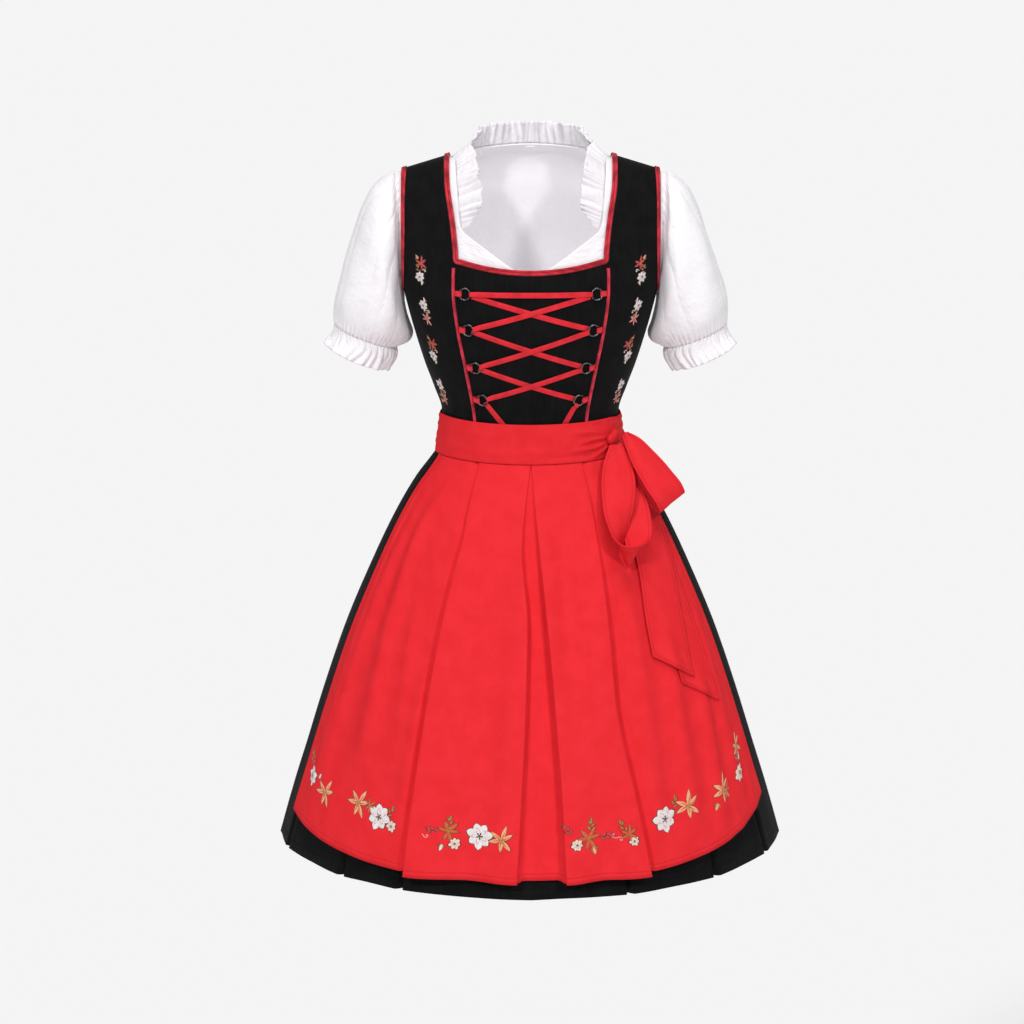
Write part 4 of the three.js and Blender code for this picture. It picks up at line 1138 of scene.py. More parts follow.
@dataclass
class Bodice:
    """The fitted bodice: five panels, the bindings of its edges and the piping in its princess seams."""

    form: BodyForm
    binding_width: float = 7.0
    piping_width: float = 5.0
    piping_height: float = 3.0
    princess: Curve = field(default_factory=lambda: Curve(PRINCESS_ROWS))
    body_levels: tuple[float, ...] = (BODICE_HEM, -385, -365, -340, -304, -265, -229, -205, -193)
    armhole_levels: tuple[float, ...] = (-186, -172, -158, NECK_CORNER, -122, -100, -75, -50, -26, -10, 0)

    def neckline(self, x: Array) -> Array:
        """Height of the front neckline at a distance from the centre line."""
        return mix(NECK_CENTRE, NECK_CORNER, (x / NECK_CORNER_X) ** 2)

    def front(self) -> None:
        """The front panel, with soft creases where the waist draws it in."""
        creases = (
            Crease(((300, 0), (400, -4)), 5, 1.1), Crease(((322, 16), (400, 13)), 4, 0.9),
            Crease(((330, -19), (400, -15)), 4, 0.9), Crease(((250, -40), (390, -30)), 9, 0.7),
            Crease(((240, 42), (390, 34)), 9, 0.7), Crease(((172, -60), (235, -30)), 10, 0.6),
        )
        share = np.linspace(-1, 1, 71)[None, :]
        level = finer((BODICE_HEM, -388, -372, -352, -330, -304, -265, -225, -185, NECK_CENTRE), 9)[:, None]
        rise = smoothstep(level, -200, NECK_CENTRE) * (self.neckline(share * NECK_CORNER_X) - NECK_CENTRE)
        spot = self.form.at(share * (self.princess(level + rise) - SEAM_GAP), level + rise)
        relief = creased(creases, spot.points[..., 0], -spot.points[..., 2])
        Cloth("bodice_front", spot.raised(relief[..., None]), CLOTH["bodice"], Finish.BLACK,
              Held.STRETCHED, ("bodice_side_left", "bodice_side_right")).build()

    def side_creases(self, sign: int) -> tuple[Crease, ...]:
        """Creases of a side panel: it is drawn in at the waist and pulls a little under the arm.

        Args:
            sign: 1 on the wearer's left, -1 on the right.

        Returns:
            The creases.
        """
        return (
            Crease(((205, sign * 172), (262, sign * 140)), 7, 0.9),
            Crease(((330, sign * 118), (398, sign * 108)), 6, 0.9),
            Crease(((345, sign * 98), (398, sign * 93)), 5, 0.8),
            Crease(((60, sign * 150), (200, sign * 128)), 9, 0.7),
        )

    def panels(self, trims: dict[str, tuple[Piece, ...]]) -> None:
        """The side and back panels.

        Args:
            trims: The trims that are sewn to the panels of each side.
        """
        front_levels = finer(self.body_levels + self.armhole_levels, 5)
        scoop = [BACK_NECK * math.cos(math.radians(a)) for a in range(3, 91, 3)]
        back_levels = np.concatenate([finer(self.body_levels + (-172, -150, -120, -90, BACK_NECK), 5), scoop])
        for name, sign in SIDES:
            points = self.form.side_grid(sign, False, front_levels, self.princess, STRAP_OUTER, 46, 0)
            points = lifted(points, creased(self.side_creases(sign), points[..., 0], -points[..., 2]))
            Cloth(f"bodice_side_{name}", points, CLOTH["bodice"], Finish.BLACK,
                  Held.STRETCHED, ("bodice_front",), trims=trims[name]).build()
            points = self.form.side_grid(sign, True, back_levels, self.back_edge, STRAP_OUTER, 60, 0)
            Cloth(f"bodice_back_{name}", points, CLOTH["bodice"], Finish.BLACK,
                  Held.STRETCHED, (f"bodice_side_{name}",)).build()

    def back_edge(self, level: Array) -> Array:
        """Inner edge of a back panel: the centre seam, then the round scoop of the neck."""
        scoop = STRAP_INNER * np.sqrt(np.clip(1 - (level / BACK_NECK) ** 2, 0, 1))
        return np.where(level <= BACK_NECK, SEAM_GAP / 2, np.maximum(scoop, SEAM_GAP / 2))

    def neck_rail(self) -> Rail:
        """The neckline's edge, once round.

        Returns:
            The line.
        """
        x = np.linspace(0, 0.985, 14) * NECK_CORNER_X
        strap = np.linspace(NECK_CORNER + 3, -4, 18)
        turn = np.radians(np.linspace(86, 0, 22))
        runs = [
            self.form.at(x, self.neckline(x)),
            self.form.at(self.princess(strap), self.form.girth(strap)),
            self.form.at(STRAP_INNER, np.array([BodyForm.TURN])),
            self.form.at(STRAP_INNER * np.sin(turn) + 1e-3, self.form.girth(BACK_NECK * np.cos(turn), True)),
        ]
        points = np.concatenate([run.points for run in runs])
        normals = np.concatenate([run.normals for run in runs])
        flip = np.array((-1, 1, 1))
        return Rail(np.concatenate([points, points[-2:0:-1] * flip]),
                    np.concatenate([normals, normals[-2:0:-1] * flip])).fine(520, ring=True)

    def armhole_rail(self, sign: int) -> Rail:
        """The armhole's edge, once round from the shoulder down the front.

        Args:
            sign: 1 on the wearer's left, -1 on the right.

        Returns:
            The line.
        """
        q = np.linspace(BodyForm.TURN, UNDERARM, 46)
        both = np.concatenate([q, 2 * BodyForm.TURN - q[-2:0:-1]])
        return self.form.place(np.full(len(both), float(sign)), both).fine(300, ring=True)

    def binding(self, node: str, rail: Rail, side: int) -> Piece:
        """A folded binding, from its outer edge round the cloth's edge and under it.

        Args:
            node: The solid that it stands for.
            rail: The edge that it goes round.
            side: 1 when the garment lies towards the rail's own right, or -1.

        Returns:
            The piece.
        """
        width = self.binding_width
        rows = [(-width, 0.3), (-width + 0.1, 1.1), (-width + 0.8, 1.55), (-width * 0.62, 1.7),
                (-width * 0.5, 0.9), (-width * 0.38, 1.7), (-1.2, 1.75), (0.2, 1.5), (1.1, 0.6), (1.2, -1.2),
                (0.6, -2.1), (-1.0, -2.5), (-4.0, -2.45)]
        points = rail.sweep([(side * offset, height) for offset, height in rows], True).swapaxes(0, 1)
        return Cloth(node, points, 0.5, Finish.TRIM, ring=True, kind="tape").build()

    def bindings(self) -> dict[str, tuple[Piece, ...]]:
        """The bindings and the piping.

        Returns:
            The pieces that belong to each side's panels.
        """
        found = {"left": (self.binding("neckline_binding", self.neck_rail(), 1),), "right": ()}
        for name, sign in SIDES:
            tape = self.binding(f"armhole_binding_{name}", self.armhole_rail(sign), -sign)
            level = np.linspace(BODICE_HEM + 1, PIPING_TOP, 120)
            cord = self.piping(f"piping_{name}", self.form.at(sign * self.princess(level), level))
            found[name] += (tape, cord)
        return found

    def piping(self, node: str, rail: Rail) -> Piece:
        """A covered cord along a seam, with its two flat edges sewn in.

        Args:
            node: The solid that it stands for.
            rail: The seam.

        Returns:
            The piece.
        """
        half = self.piping_width / 2
        turn = np.linspace(0, math.pi, 11)
        arc = [(-math.cos(a) * half * 0.86, 0.5 + math.sin(a) * (self.piping_height - 0.5)) for a in turn]
        points = rail.sweep([(-half, 0.35), *arc, (half, 0.35)]).swapaxes(0, 1)
        return Cloth(node, points, 0.3, Finish.PIPING, kind="cord").build()

    def build(self) -> None:
        """Make the whole bodice."""
        trims = self.bindings()
        self.front()
        self.panels(trims)


# ---- rings, tabs and lacing

class LaceWay(Enum):
    """Which way a lace runs from the right to the left; the value is its height off the bodice."""

    FALLING = 1.5
    RISING = 2.7
    LEVEL = 3.9


class LaceEnd(Enum):
    """How a lace ends at a ring."""

    OVER = "over the wire and down into the ring"
    UNDER = "under the wire and up into the ring"
    CLEAR = "short of the ring, under another lace"
    TUCKED = "under the waistband"


@dataclass
class Lacing:
    """Rings on folded tabs, and the ribbon that crosses between them."""

    form: BodyForm
    princess: Curve
    radius: float = 8.2
    wire: float = 1.3
    lift: float = 2.8
    tab_width: float = 7.5
    tab_thickness: float = 0.7
    lace_half: float = 4.0
    seam_clear: float = 2.9         # from the princess seam to where a tab is sewn
    tab_clear: float = 0.4          # from a ring's wire to the tab round it
    pinch: Triple = (0.16, 8, 6)    # how much a lace narrows over a ring, how far along, over what length

    def seat(self, sign: int, row: int) -> tuple[Array, Array, Array, float, float]:
        """Where a ring sits.

        Args:
            sign: 1 on the wearer's left, -1 on the right.
            row: The ring's number from the top, from 0.

        Returns:
            The seat's point, its normal, the way to the seam, and the seam's reach and drop from the seat.
        """
        x, level = RING_SEATS[row]
        seat = self.form.at(np.array([sign * x]), np.array([level]))
        seam_x = sign * (self.princess(level) - self.seam_clear)
        seam = self.form.at(np.array([seam_x]), np.array([level])).points[0]
        point, normal = seat.points[0], seat.normals[0]
        way = seam - point
        drop = float(way @ normal)
        reach = math.sqrt(float(way @ way) - drop * drop)
        return point, normal, unit(way - normal * drop), reach, drop

    def frame(self, sign: int, row: int) -> Matrix:
        """Places a ring: X runs to the seam and Y along the cloth's normal.

        Args:
            sign: 1 on the wearer's left, -1 on the right.
            row: The ring's number from the top, from 0.

        Returns:
            The ring's own axes and middle.
        """
        point, normal, ahead, _, _ = self.seat(sign, row)
        third = np.cross(ahead, normal)
        middle = point + normal * self.lift
        axes = np.stack([ahead, normal, third, middle], axis=1)
        return Matrix([*map(tuple, axes), (0, 0, 0, 1)])

    def ring(self, sign: int, name: str, row: int) -> None:
        """One ring of round wire.

        Args:
            sign: 1 on the wearer's left, -1 on the right.
            name: The side's name.
            row: The ring's number from the top, from 0.
        """
        shape = bmesh.new()
        bmesh.ops.create_circle(shape, segments=14, radius=self.wire)
        bmesh.ops.translate(shape, verts=shape.verts, vec=(self.radius, 0, 0))
        bmesh.ops.spin(shape, geom=list(shape.verts) + list(shape.edges), axis=(0, 1, 0), cent=(0, 0, 0),
                       angle=2 * math.pi, steps=56, use_merge=True)
        bmesh.ops.recalc_face_normals(shape, faces=shape.faces)
        bmesh.ops.transform(shape, matrix=Matrix.Scale(MM, 4) @ self.frame(sign, row), verts=shape.verts)
        adopt(smoothed(mesh_of(shape, f"ring_{row + 1}_{name}_wire")), Finish.METAL, f"ring_{row + 1}_{name}")

    def tab(self, sign: int, name: str, row: int) -> None:
        """The folded tab that holds a ring to the seam.

        Args:
            sign: 1 on the wearer's left, -1 on the right.
            name: The side's name.
            row: The ring's number from the top, from 0.
        """
        *_, reach, drop = self.seat(sign, row)
        outside = self.wire + self.tab_clear + self.tab_thickness
        inner = self.radius - 1.05
        outer = self.radius + 1
        end = drop - outside
        turn = np.linspace(math.pi / 2, 1.5 * math.pi, 13)
        arc = [(inner + math.cos(a) * outside, math.sin(a) * outside) for a in turn]
        route = [(reach, end + 2 * self.tab_thickness), (mix(reach, outer, 0.5), end * 0.2 + 0.5),
                 (outer + 0.4, outside * 0.97), *arc, (outer, -outside * 0.98), (reach, end)]
        path = spaced(np.array([(x, y, 0.0) for x, y in route]), 40)
        width = np.linspace(-self.tab_width / 2, self.tab_width / 2, 9)
        local = path[:, None] + np.array((0, 0, 1.0)) * width[None, :, None]
        frame = np.array(self.frame(sign, row))
        points = local @ frame[:3, :3].T + frame[:3, 3]
        Cloth(f"tab_{row + 1}_{name}", points, self.tab_thickness * 0.8, Finish.LACE, turn=-sign,
              kind="fold").build()

    def end_heights(self, end: LaceEnd, height: float) -> tuple[float, list[tuple[float, float]]]:
        """Where a lace stops, and its height at distances from a ring's centre.

        Args:
            end: How the lace ends.
            height: Its height along the way.

        Returns:
            The distance at which it stops, and rows of distance and height.
        """
        if end is LaceEnd.OVER:
            top = self.lift + self.wire + 0.3 + CLOTH["ribbon"]
            return 5.6, [(5.6, 1.7), (6.2, 3.4), (7.2, top - 0.5), (8.4, top), (10.6, top - 1.1),
                         (14.5, height + 0.3)]
        if end is LaceEnd.UNDER:
            return 5.4, [(5.4, 2.9), (6.2, 1.9), (7.4, 1.45), (10, 1.45), (15, height)]
        return (self.radius + self.wire + 0.5 if end is LaceEnd.CLEAR else 0.0), []

    def lace(self, node: str, start: tuple, finish: tuple, way: LaceWay,
             ends: tuple[LaceEnd, LaceEnd]) -> None:
        """One run of the ribbon.

        Args:
            node: The solid that it stands for.
            start: Its first point: distance from the centre line and height.
            finish: Its last point.
            way: Which way it runs.
            ends: How it ends at each point.
        """
        height = way.value
        first, last = np.array(start, float), np.array(finish, float)
        length = float(np.linalg.norm(last - first))
        near, near_rows = self.end_heights(ends[0], height)
        far, far_rows = self.end_heights(ends[1], height)
        place = np.linspace(near, length - far, 90)
        rows = near_rows + [(20, height), (length - 20, height)]
        rows += [(length - d, h) for d, h in reversed(far_rows)]
        spots = first[None] + (last - first)[None] * (place / length)[:, None]
        rail = self.form.at(spots[:, 0], spots[:, 1])
        pinch, along, soft = self.pinch
        scale = 1 - pinch * np.exp(-((place - along) / soft) ** 2) * (ends[0] is LaceEnd.OVER)
        scale = scale - pinch * np.exp(-((length - place - along) / soft) ** 2) * (ends[1] is LaceEnd.OVER)
        half = self.lace_half
        profile = [(half * s, -0.25 * s ** 4) for s in np.linspace(-1, 1, 11)]
        points = rail.sweep(profile, scale=scale, rise=Curve(rows)(place))
        Cloth(node, points, CLOTH["ribbon"], Finish.LACE, kind="ribbon").build()

    def build(self) -> None:
        """Make the rings, the tabs and every run of the lace."""
        for name, sign in SIDES:
            for row in range(len(RING_SEATS)):
                self.ring(sign, name, row)
                self.tab(sign, name, row)
        over, under, clear, tucked = LaceEnd.OVER, LaceEnd.UNDER, LaceEnd.CLEAR, LaceEnd.TUCKED
        right = [(-x, z) for x, z in RING_SEATS]
        left = list(RING_SEATS)
        self.lace("lace_level", right[0], left[0], LaceWay.LEVEL, (over, over))
        for i in range(3):
            self.lace(f"lace_falling_{i + 1}", right[i], left[i + 1], LaceWay.FALLING,
                      (under if i else clear, under))
            self.lace(f"lace_rising_{i + 1}", right[i + 1], left[i], LaceWay.RISING,
                      (over, over if i else clear))
        self.lace("lace_end_right", right[3], (-30, -392), LaceWay.FALLING, (under, tucked))
        self.lace("lace_end_left", left[3], (42, -392), LaceWay.FALLING, (over, tucked))


# ---- blouse

def pinched(phase: Array) -> Array:
    """A gathered edge: round folds with sharp hollows between them, from -1 to 1."""
    return 2 * np.abs(np.sin(phase / 2)) ** 0.7 - 1


@dataclass
class Blouse:
    """The short blouse under the bodice: its body, puffed sleeves, cuffs and neck frill."""

    form: BodyForm
    under: float = BLOUSE_UNDER
    back_neck_rise: float = 10.0
    frill_height: float = 38.0
    neck_edge: Curve = field(default_factory=lambda: Curve(BLOUSE_NECK_ROWS))
    levels: tuple[float, ...] = (-285, -240, -205, -189, -180, -166, -151, -138, -123, -108, -97, -88, -60,
                                 -26, -8, 0)
    back_edges: tuple[float, ...] = (0, 26, 50, 72, 93, 106, 110, 132, 158, 178, 187)
    # top of the arm, underarm and half depth of each section of a sleeve, from the cap to the cuff
    sections: Table = (
        (203, -25, 190, -212, 65), (226, -42, 186, -238, 74), (243, -72, 181, -253, 78),
        (259, -116, 178, -261, 78), (275, -163, 180, -268, 75), (288, -215, 186, -274, 66),
        (287, -247, 197, -281, 50),
    )
    cuff_hem: tuple[float, ...] = (300, -278, 209, -315, 55)
    # how many gathers or folds there are: per turn of the sleeve, and along the whole neck frill
    cap_gathers: int = 34
    cuff_gathers: int = 46
    long_folds: int = 11
    cuff_flutes: int = 24
    frill_gathers: int = 58
    gather_pitch: float = 7.5

    def back_level(self, x: Array) -> Array:
        """Height of the back neck seam below the shoulder line at a distance from the centre.

        Args:
            x: Distance from the centre line.

        Returns:
            The height.
        """
        share = np.minimum(1, np.abs(x) / NECK_HALF_WIDTH)
        slope = SHOULDER_SLOPE * (STRAP_INNER - beside(x)) * (1 - share ** 6)
        return np.minimum(0, self.back_neck_rise * (1 - share ** 4) - slope)

    def back_grid(self, x: Array, rows: Array, height: float) -> Array:
        """The back, or a strip of it between two rows.

        Args:
            x: Distances of the columns from the centre line.
            rows: Shares of the way from the hem to the neck seam.
            height: Height off the form.

        Returns:
            Rows of points.
        """
        x, rows = np.asarray(x, float)[None, :], np.asarray(rows, float)[:, None]
        share = np.sign(x) * (np.abs(x) / BLOUSE_ARMHOLE) ** (self.form.fullness(0) / 2) * (1 - 1e-6)
        level = mix(BLOUSE_HEM, self.back_level(x), rows)
        girth = self.form.girth(np.minimum(level, -0.002), True)
        return self.form.place(share + 0 * level, girth, BLOUSE_ARMHOLE).raised(height)

    def back(self, trims: Sequence[Piece]) -> None:
        """The back, which shows through the neck opening with a few soft folds.

        Args:
            trims: Pieces that go with it.
        """
        edges = finer(self.back_edges, 5)
        x = np.concatenate([-edges[:0:-1], edges])
        rows = finer((0, 0.28, 0.38, 0.52, 0.7, 0.85, 0.95, 1), 8)
        folds = (
            Crease(((20, -38), (150, -26), (280, -30)), 9, 0.9),
            Crease(((25, 30), (140, 18), (280, 26)), 10, 0.8),
            Crease(((30, -4), (200, 6), (280, 4)), 8, -0.7),
            Crease(((30, 66), (160, 58), (280, 60)), 9, -0.8),
            Crease(((30, -70), (160, -60), (280, -64)), 9, 0.7),
        )
        grid = self.back_grid(x, rows, -self.under)
        grid = lifted(grid, creased(folds, grid[..., 0], -grid[..., 2]))
        # Its inner face takes the emitting cotton: painted light on the back seen through the neck.
        Cloth("blouse_back", grid, CLOTH["blouse"], Finish.WHITE, Held.GATHERED,
              ("bodice_back_left", "bodice_back_right"), trims=trims, lining=Finish.LINING).build()

    def facing(self) -> list[Piece]:
        """The facing inside the back neck and the plain label on it.

        Returns:
            The label, which goes with the back.
        """
        x = np.linspace(-72, 72, 61)
        depth = -self.under - CLOTH["blouse"] - 0.4
        grid = self.back_grid(x, np.linspace(0.95, 1, 9), depth)
        # The facing and the label take the emitting cotton too: painted light.
        Cloth("neck_facing", grid, CLOTH["blouse"], Finish.LINING, Held.LAID, ("blouse_back",),
              hems=(Hem.FIRST,)).build()
        grid = self.back_grid(np.linspace(-6.5, 6.5, 9), np.linspace(0.955, 0.99, 9),
                              depth - CLOTH["blouse"] - 1.2)
        return [Cloth("size_label", grid, 0.6, Finish.LINING, kind="tape").build()]

    def front(self, name: str, sign: int) -> None:
        """One front, gathered along its neck edge.

        Args:
            name: The side's name.
            sign: 1 on the wearer's left, -1 on the right.
        """
        levels = finer(self.levels, 6)
        grid = self.form.side_grid(sign, False, levels, lambda z: np.maximum(self.neck_edge(z), 0.3),
                                   BLOUSE_ARMHOLE, 64, -self.under)
        edge = np.linalg.norm(grid - grid[:, :1], axis=2)
        upper = smoothstep(levels, -175, -120)[:, None]
        run = lengths_along(grid[:, 0])[:, None]
        phase = run * (2 * math.pi / self.gather_pitch) + 2.2 * Drift(11)(run / 22)
        gathers = pinched(phase) * np.exp(-edge / 20) * upper
        folds = (
            Crease(((95, sign * 84), (150, sign * 44)), 7, 1.0),
            Crease(((108, sign * 60), (150, sign * 26)), 5, -0.8),
            Crease(((100, sign * 98), (160, sign * 70)), 6, -0.8),
        )
        relief = 0.55 * gathers + creased(folds, grid[..., 0], -grid[..., 2]) * upper
        Cloth(f"blouse_front_{name}", lifted(grid, np.minimum(relief, 1.4)), CLOTH["blouse"], Finish.WHITE,
              Held.GATHERED, ("bodice_front", f"bodice_side_{name}")).build()

    def neck_rail(self) -> Array:
        """The neck seam from one front end over the shoulders to the other.

        Returns:
            The line.
        """
        level = np.array([-95, -75, -50, -25, -8], float)
        x = np.array([108, 100, 85, 65, 45, 22, 0.001])
        runs = [
            self.form.at(self.neck_edge(level), self.form.girth(level), BLOUSE_ARMHOLE),
            self.form.at(NECK_HALF_WIDTH, np.array([BodyForm.TURN]), BLOUSE_ARMHOLE),
            self.form.at(x, self.form.girth(self.back_level(x), True), BLOUSE_ARMHOLE),
        ]
        lift = -self.under - CLOTH["blouse"] / 2
        half = np.concatenate([run.raised(lift) for run in runs])
        return np.concatenate([half, half[-2::-1] * np.array((-1, 1, 1))])

    def neck_frill(self) -> None:
        """The gathered frill that stands up round the back of the neck and lies inwards at the front."""
        columns, rows = 769, 13
        seam = spaced(self.neck_rail(), columns)
        share = np.linspace(0, 1, columns)
        front = smoothstep(np.abs(share - 0.5), 0.2, 0.42)[:, None]
        out = np.abs(seam[:, :1])
        lean = mix(mix(0.12, 1.05, smoothstep(out, 70, 112)), 0.95, front)
        inward = -np.sign(seam[:, :1]) * np.minimum(1, out / 60) * np.array((1, 0, 0))
        rise = unit(np.stack([0 * share, mix(-0.08, -0.3, front[:, 0]), mix(1, 0.42, front[:, 0])], axis=1)
                    + inward * lean)
        swell = unit(np.cross(unit(np.gradient(seam, axis=0)), rise))
        taper = smoothstep(np.minimum(share, 1 - share), 0, 0.04)
        height = self.frill_height * mix(0.35, 1, taper) * mix(0.87, 1, front[:, 0])
        height = height * (1 + 0.035 * Drift(5)(share * 46))
        phase = 2 * math.pi * (self.frill_gathers * share + 1.1 * Drift(3)(share * 21))
        t = np.linspace(0.012, 1, rows)[:, None]
        strength = taper * (0.85 + 0.3 * Drift(4)(share * 34))
        gathers = (0.4 + 3.1 * t ** 0.7) * pinched(phase + 0.7 * np.sin(t * 3 + share * 60))
        flutes = 3.2 * t ** 1.6 * np.sin(phase * 0.31 + 1.5)
        lean = 1.3 * t ** 2 * np.cos(phase)
        ahead = unit(np.gradient(seam, axis=0))
        points = (seam + rise * (t * height)[..., None] + swell * ((gathers + flutes) * strength)[..., None]
                  + ahead * (lean * strength)[..., None])
        Cloth("neck_frill", points, CLOTH["blouse"] * 0.7, Finish.WHITE, Held.GATHERED, ("blouse_back",),
              hems=(Hem.LAST,)).build()

    def armhole(self, sign: int, plane: float, turn: Array) -> Array:
        """Points round the blouse's armhole in a plane at a distance from the centre line.

        Args:
            sign: 1 on the wearer's left, -1 on the right.
            plane: The plane's distance from the centre line.
            turn: Angles round the armhole, in radians.

        Returns:
            One point for each angle.
        """
        level = np.linspace(-265, -100, 400)
        floor = float(np.interp(plane, self.form.width(level)[:200], level[:200]))
        q = mix(BodyForm.TURN, floor, (1 - np.cos(turn)) / 2)
        q = np.where(turn <= math.pi, q, 2 * BodyForm.TURN - q)
        spot = self.form.place(np.full(len(turn), float(sign)), q, plane)
        return spot.points - spot.normals * self.under

    @staticmethod
    def ring(row: Sequence[float], sign: int, turn: Array) -> Array:
        """One section of a sleeve, from the top of the arm round the front to the underarm and back.

        Args:
            row: The section's numbers, as in sections.
            sign: 1 on the wearer's left, -1 on the right.
            turn: Angles round the sleeve, in radians.

        Returns:
            One point for each angle.
        """
        top = np.array((sign * row[0], 0, row[1]), float)
        under = np.array((sign * row[2], 0, row[3]), float)
        middle = (top + under) / 2
        side = np.array((0, -row[4], 0), float)
        return middle + (top - middle) * np.cos(turn)[:, None] + side * np.sin(turn)[:, None]

    def sleeve(self, name: str, sign: int) -> None:
        """A puffed sleeve, gathered into the armhole's top and into the cuff.

        Args:
            name: The side's name.
            sign: 1 on the wearer's left, -1 on the right.
        """
        turn = np.linspace(0, 2 * math.pi, 321)
        rings = [self.armhole(sign, BLOUSE_ARMHOLE + out, turn) for out in (1.2, 3.5)]
        rings += [self.ring(row, sign, turn) for row in self.sections]
        middles = np.array([ring.mean(axis=0) for ring in rings])
        knots = lengths_along(middles)
        where = np.linspace(0, knots[-1], 60)
        grid = through(knots, np.array(rings), where)
        length = np.cumsum(np.linalg.norm(np.diff(grid, axis=0, prepend=grid[:1]), axis=2), axis=0)
        from_cap, from_cuff = length, length[-1:] - length
        a = np.minimum(turn, 2 * math.pi - turn)[None, :]
        wander = Drift(21 + sign)
        around = turn[None, :]
        cap = pinched(self.cap_gathers * around + 1.6 * wander(around * 5, length / 60))
        cap = cap * np.exp(-from_cap / 20)
        cap = cap * (1 - smoothstep(a, 1.2, 2.2)) * smoothstep(from_cap, 0, 6)
        cuff = pinched(self.cuff_gathers * around + 1.8 * wander(around * 7, 3.0)) * np.exp(-from_cuff / 12)
        cuff = cuff * smoothstep(from_cuff, -3, 4)
        long_folds = pinched(self.long_folds * around + 2.4 * wander(around * 2.2, 9 + length / 120))
        long_folds = long_folds * smoothstep(from_cap, 0, 60) * smoothstep(from_cuff, 0, 70) * 0.8
        soft = 3.2 * wander(around * 1.6, 20 + length / 70)
        soft = soft * smoothstep(from_cap, 0, 40) * smoothstep(from_cuff, 0, 40)
        inner = np.exp(-((a - math.pi) / 0.6) ** 2)
        inner = inner * smoothstep(from_cap, 8, 40) * smoothstep(from_cuff, 0, 25)
        relief = 1.5 * cap + 2.6 * cuff + long_folds + soft * (1 - inner) + 5.5 * inner
        relief[:, -1] = relief[:, 0]
        grid = lifted(grid, relief * smoothstep(from_cap, 0, 9), True)
        Cloth(f"sleeve_{name}", grid[::-1], CLOTH["blouse"], Finish.WHITE,
              Held.GATHERED, (f"blouse_front_{name}", "blouse_back"), ring=True).build()

    def cuff(self, name: str, sign: int) -> None:
        """The pleated frill below a sleeve's gathering.

        Args:
            name: The side's name.
            sign: 1 on the wearer's left, -1 on the right.
        """
        turn = np.linspace(0, 2 * math.pi, 577)
        last = self.sections[-1] - np.array((0, 0.35, 0, 0.35, 0))
        waist = last + np.array((1.0, -8, -1.0, -8, 0.5))
        rings = np.array([self.ring(last, sign, turn), self.ring(waist, sign, turn),
                          self.ring(self.cuff_hem, sign, turn)])
        t = np.linspace(0, 1, 14)
        grid = through(np.array([0, 0.18, 1]), rings, t)
        wander = Drift(31 + sign)
        around, t = turn[None, :], t[:, None]
        phase = self.cuff_flutes * around + 3.4 * wander(around * 4, t * 0.8)
        depth = 0.75 + 0.4 * wander(around * 3, 8.0)
        seam = pinched(self.cuff_gathers * around + 1.8 * Drift(21 + sign)(around * 7, 3.0))
        relief = ((1.3 * smoothstep(t, 0, 0.25) + 2.4 * t) * pinched(phase) * depth
                  + 1.1 * np.exp(-t * 7) * seam + 1.6 * t * np.sin(9 * around + 2 * wander(around * 2, 5)))
        relief[:, -1] = relief[:, 0]
        Cloth(f"cuff_frill_{name}", lifted(grid, relief, True)[::-1], CLOTH["blouse"] * 0.8, Finish.WHITE,
              Held.GATHERED, (f"sleeve_{name}",), ring=True, hems=(Hem.FIRST,)).build()

    def build(self) -> None:
        """Make the whole blouse."""
        self.back(self.facing())
        self.neck_frill()
        for name, sign in SIDES:
            self.front(name, sign)
            self.sleeve(name, sign)
            self.cuff(name, sign)


# ---- pleated cloth

@dataclass
class Column:
    """One column of pleated cloth: an angle round the body, a distance beside it and a height, by level."""

    angle: Array
    along: Array
    off: Array

    def mirrored(self, about: float) -> "Column":
        """The same column on the other side of an angle."""
        return Column(2 * about - self.angle, -self.along, self.off)

    def towards(self, other: "Column", count: int, sag: Array) -> list["Column"]:
        """Columns on the way to another one, sagging between the two.

        Args:
            other: The last column.
            count: Number of columns between the two.
            sag: How far the middle one hangs in.

        Returns:
            The columns.
        """
        return [Column(mix(self.angle, other.angle, share), mix(self.along, other.along, share),
                       mix(self.off, other.off, share) + sag * 4 * share * (1 - share))
                for share in np.linspace(0, 1, count + 2)[1:-1]]


